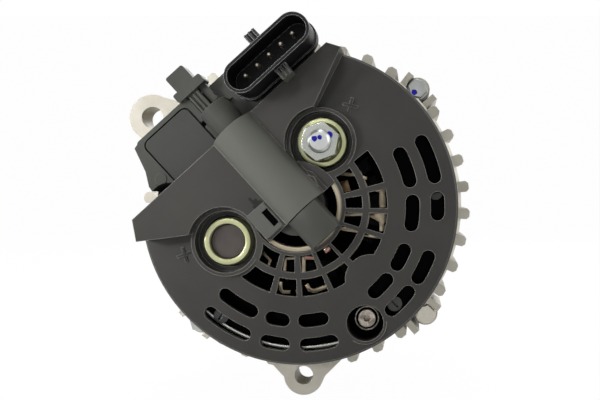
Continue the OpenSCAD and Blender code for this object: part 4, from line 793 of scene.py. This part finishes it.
# Washers on the two terminal bushings
WASHER_LOW, WASHER_HIGH = 157.9, 158.9
for name, inner, outer, centre in (("terminal_washer", 5.4, 10.8, MAIN_TERMINAL),
                                   ("spare_washer", 7.85, 10.3, SPARE_TERMINAL)):
    washer = ring(name, inner, outer, WASHER_LOW, WASHER_HIGH, edge=0.4, sides=64, centre=centre)
    dress(washer, "yellow_zinc")

# Threaded stud of the main terminal
stud = threaded("terminal_thread", 4.95, 1.5, 145.4, 170.1, MAIN_TERMINAL)
dress(stud, "zinc_steel", look="stud_zinc")
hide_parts("terminal_stud")


def wire(name, points, thickness):
    """A round wire through points, made a mesh"""
    deselect()
    data = bpy.data.curves.new(name, "CURVE")
    data.dimensions = "3D"
    data.bevel_depth = thickness / 2
    data.bevel_resolution = 2
    data.resolution_u = 3
    data.use_fill_caps = True
    line = data.splines.new("BEZIER")
    line.bezier_points.add(len(points) - 1)
    for knot, place in zip(line.bezier_points, points):
        knot.co = place
        knot.handle_left_type = knot.handle_right_type = "AUTO"
    holder = bpy.data.objects.new(name, data)
    bpy.context.scene.collection.objects.link(holder)
    bpy.context.view_layer.objects.active = holder
    holder.select_set(True)
    bpy.ops.object.convert(target="MESH")
    made = bpy.context.active_object
    made.select_set(False)
    return settle(made, SHAFT)


def joined(name, pieces):
    """One piece made of several"""
    deselect()
    for p in pieces:
        p.select_set(True)
    bpy.context.view_layer.objects.active = pieces[0]
    bpy.ops.object.join()
    pieces[0].name = name
    pieces[0].select_set(False)
    return pieces[0]


def copied_round(piece, count, name, first=0):
    """Copies of a settled piece turned about the shaft and joined; the piece itself goes"""
    out = []
    inverse = SHAFT.inverted()
    for i in range(count):
        twin = piece.copy()
        twin.data = piece.data.copy()
        bpy.context.scene.collection.objects.link(twin)
        turn = Matrix.Rotation(math.radians(first + 360 * i / count), 4, "Z")
        twin.data.transform(SHAFT @ turn @ inverse)
        out.append(twin)
    bpy.data.objects.remove(piece)
    return joined(name, out)


def polar(radius, degrees, station):
    """A point of the shaft's frame from its radius, angle and station"""
    a = math.radians(degrees)
    return (radius * math.cos(a), radius * math.sin(a), station)


# Bright ring in the cover's middle hole, seen beyond the barrel's end
BARREL_END = 3.3
along_barrel = (BARREL.to_3x3() @ Vector((1, 0, 0))).normalized()
bore_ring = ring("cover_bore_ring", 17.5, 19.85, 157.5, 162.3)
keep_side(bore_ring, BARREL @ Vector((BARREL_END, 0, 160)), along_barrel)
dress(bore_ring, "sink_aluminium", look="ring_aluminium")

# Web of the cover that closes the hole beside the barrel
web_outline = [(-15, 12.6)] + arc(19.9, 139.5, 81, 12) + [(3.1, 12.6)]
web = cut_out("cover_web", web_outline, 159.5, 163.1, BARREL, edge=0.3)
dress(web, "cover_plastic")

# Cap over the slip rings, in line with the barrel: its section is drawn across the barrel
ACROSS = BARREL @ Matrix(((0, 0, 1, 0), (1, 0, 0, 0), (0, 1, 0, 0), (0, 0, 0, 1)))
cap_outline = [(-6.7, 161.5)] + arc(10.75, 154.5, 54.8, 18, centre=(3, 163.15)) + [(9.2, 161.5)]
cap = cut_out("slip_ring_cap_arch", cap_outline, 3.6, 18.6, ACROSS, edge=0.4)
dress(cap, "regulator_plastic")
hook_outline = ribbon([(14.5, -6.2), (18.0, -6.6), (19.3, -7.6), (19.0, -8.6)], 1.5)
dress(cut_out("cap_hook", hook_outline, 162, 164.4, BARREL, edge=0.3), "regulator_plastic")

# Bright lip of the heat sink, seen through the lower outer slots
sink_lip = ring("sink_lip", 63.1, 64.8, 148.1, 149.4, edge=0.45, sides=128)
for degrees, side in ((-141, 1), (-71, -1)):
    turn = math.radians(degrees)
    keep_side(sink_lip, (0, 0, 0), (-side * math.sin(turn), 0, side * math.cos(turn)))
dress(sink_lip, "sink_aluminium", look="rim_aluminium")

# Sleeve round the cover's screw
low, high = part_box("cover_screw")
screw_place = ((low[0] + high[0]) / 2 / MM, (low[2] + high[2]) / 2 / MM)
recess = seat_height("rear_cover", screw_place[0] + 5.4, screw_place[1])
sleeve = ring("screw_sleeve", 5.0, 5.7, recess - 0.2, recess + 2.6, edge=0.3, sides=48, centre=screw_place)
dress(sleeve, "zinc_steel", look="screw_zinc")


def under_grille(points):
    """Where the camera sees points of the grille, moved on to the board that lies further in"""
    depth_share = 0.045
    view_x, view_y = CAMERA_PLACE[0] / MM, CAMERA_PLACE[2] / MM
    return [(x + (x - view_x) * depth_share, y + (y - view_y) * depth_share) for x, y in points]


# Lead frame on the terminal board, tinned strips seen through the grille
BOARD_TOP = 144.3
STRIPS = [
    ribbon([(-9.9, -34.4), (-9.9, -38.0), (-9.0, -39.2), (-2.6, -39.2), (-1.8, -38.0)], 1.5),
    ribbon([(1.9, -35.6), (3.3, -38.2), (5.2, -38.8), (12.2, -36.4)], 1.9),
    [(35.1, 6.2), (33.4, 6.8), (33.6, 7.8), (37.9, 7.4), (38.2, -0.6), (35.1, -0.6)],
    [(29.8, -3.4), (38.2, -3.2), (38.0, -11.5), (35.2, -11.5), (35.1, -7.2), (30.4, -4.6)],
    ribbon([(27.4, -12.6), (31, -13.4), (35.6, -14.0)], 1.9),
    ribbon([(29.6, 12.6), (24.0, 14.6), (21.8, 14.4), (16.4, 14.9)], 1.6),
    ribbon([(33, -3.9), (19, -3.9)], 1.2),
    ribbon([(30.5, -13.2), (25, -11.4), (17.2, -10.2)], 1.5),
    ribbon([(-8.2, -33), (-7.8, -24.2)], 1.4),
    ribbon([(-7.8, -24), (-2.9, -23.8)], 1.2),
    ribbon([(-16.5, -30), (-14.7, -24.8), (-18.7, -20.5)], 1.4),
    ribbon([(0.6, -33), (0.6, -23.1)], 1.8),
]
strips = [cut_out(f"strip_{i}", outline, BOARD_TOP, BOARD_TOP + 1.2) for i, outline in enumerate(STRIPS)]
# The strips hang together along a web that the grille's ring hides from the camera
web_line = under_grille(arc(31.3, 30, -122, 40))
strips.append(cut_out("strip_web", ribbon(web_line, 1.4), BOARD_TOP - 0.2, BOARD_TOP + 1.0))
dress(joined("lead_frame", strips), "tinned", look="lead_tin")

# Soldered wire ends, a brass block and the arms that carry them
ends = [cut_out(f"end_{i}", ribbon(line, width), BOARD_TOP, BOARD_TOP + height, edge=edge)
        for i, (line, width, height, edge) in enumerate((
            ([(1.0, -23.6), (5.6, -23.6)], 1.8, 1.6, 0.5),
            ([(10.0, -20.9), (12.6, -18.7)], 2.6, 1.8, 0.8)))]
dress(joined("phase_ends", ends), "copper_bare", look="lead_copper")
block_outline = [(16.9, 11.0), (20.7, 12.2), (22.3, 7.0), (18.1, 6.3)]
block = cut_out("lead_block", block_outline, BOARD_TOP, BOARD_TOP + 1.4, edge=0.4)
dress(block, "tinned", look="lead_brass")
arms = [cut_out(f"arm_{i}", ribbon(line, 1.6), BOARD_TOP - 0.8, BOARD_TOP + 0.3)
        for i, line in enumerate((
            [(20, 9.4), (31, 11.2)], [(11, -20.0), (16.5, -26.6)], [(4.6, -23.8), (6.4, -30.6)]))]
dress(joined("lead_arms", arms), "board_plastic")

# Plug of the spare terminal's bore
PLUG_LOW, PLUG_HIGH = 150, 156.6
PLUG_PROFILE = [(POLE, PLUG_LOW), (7.5, PLUG_LOW), (7.7, PLUG_LOW + 0.3), (7.7, PLUG_HIGH - 0.5),
                (7.2, PLUG_HIGH), (POLE, PLUG_HIGH)]
plug = turned("spare_plug", PLUG_PROFILE, centre=SPARE_TERMINAL, closed=True)
dress(plug, "cover_plastic", look="plug_plastic")


# Wire of the end turns: each end is a ring of crossed hairpins round a darker bed of varnished wire
BUNDLE_RADII = (53.8, 56.1, 58.4, 60.7, 63.0)
HAIRPINS_ROUND = 48
HALF_SPAN = 6.4
WIRE_THICKNESS = 1.8
for end, base, outward in (("front", 65.0, -1), ("rear", 103.0, 1)):
    shoulder = base + outward * 5
    hairpins = []
    for k, r in enumerate(BUNDLE_RADII):
        top = base + outward * (10.6 + 0.5 * (k % 2))
        line = [polar(r, -HALF_SPAN, base), polar(r, -6.0, shoulder), polar(r + 0.6, 0, top),
                polar(r, 6.0, shoulder), polar(r, HALF_SPAN, base)]
        hairpins.append(wire(f"hairpin_{end}_{k}", line, WIRE_THICKNESS))
    hairpin = joined(f"hairpin_{end}", hairpins)
    turns = copied_round(hairpin, HAIRPINS_ROUND, f"winding_turns_{end}", first=3.75)
    bed_side = base + outward * 7.5
    bed_top = base + outward * 9
    bed = turned(f"winding_bed_{end}", [(53.6, base), (53.6, bed_side), (55.5, bed_top), (61.5, bed_top),
                                        (63.4, bed_side), (63.4, base)], sides=96)
    use_modifier(bed, "BEVEL", width=0.6 * MM, segments=2, limit_method="ANGLE")
    dress(turns, "copper_winding", smooth=60)
    dress(bed, "copper_winding")
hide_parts("stator_winding")
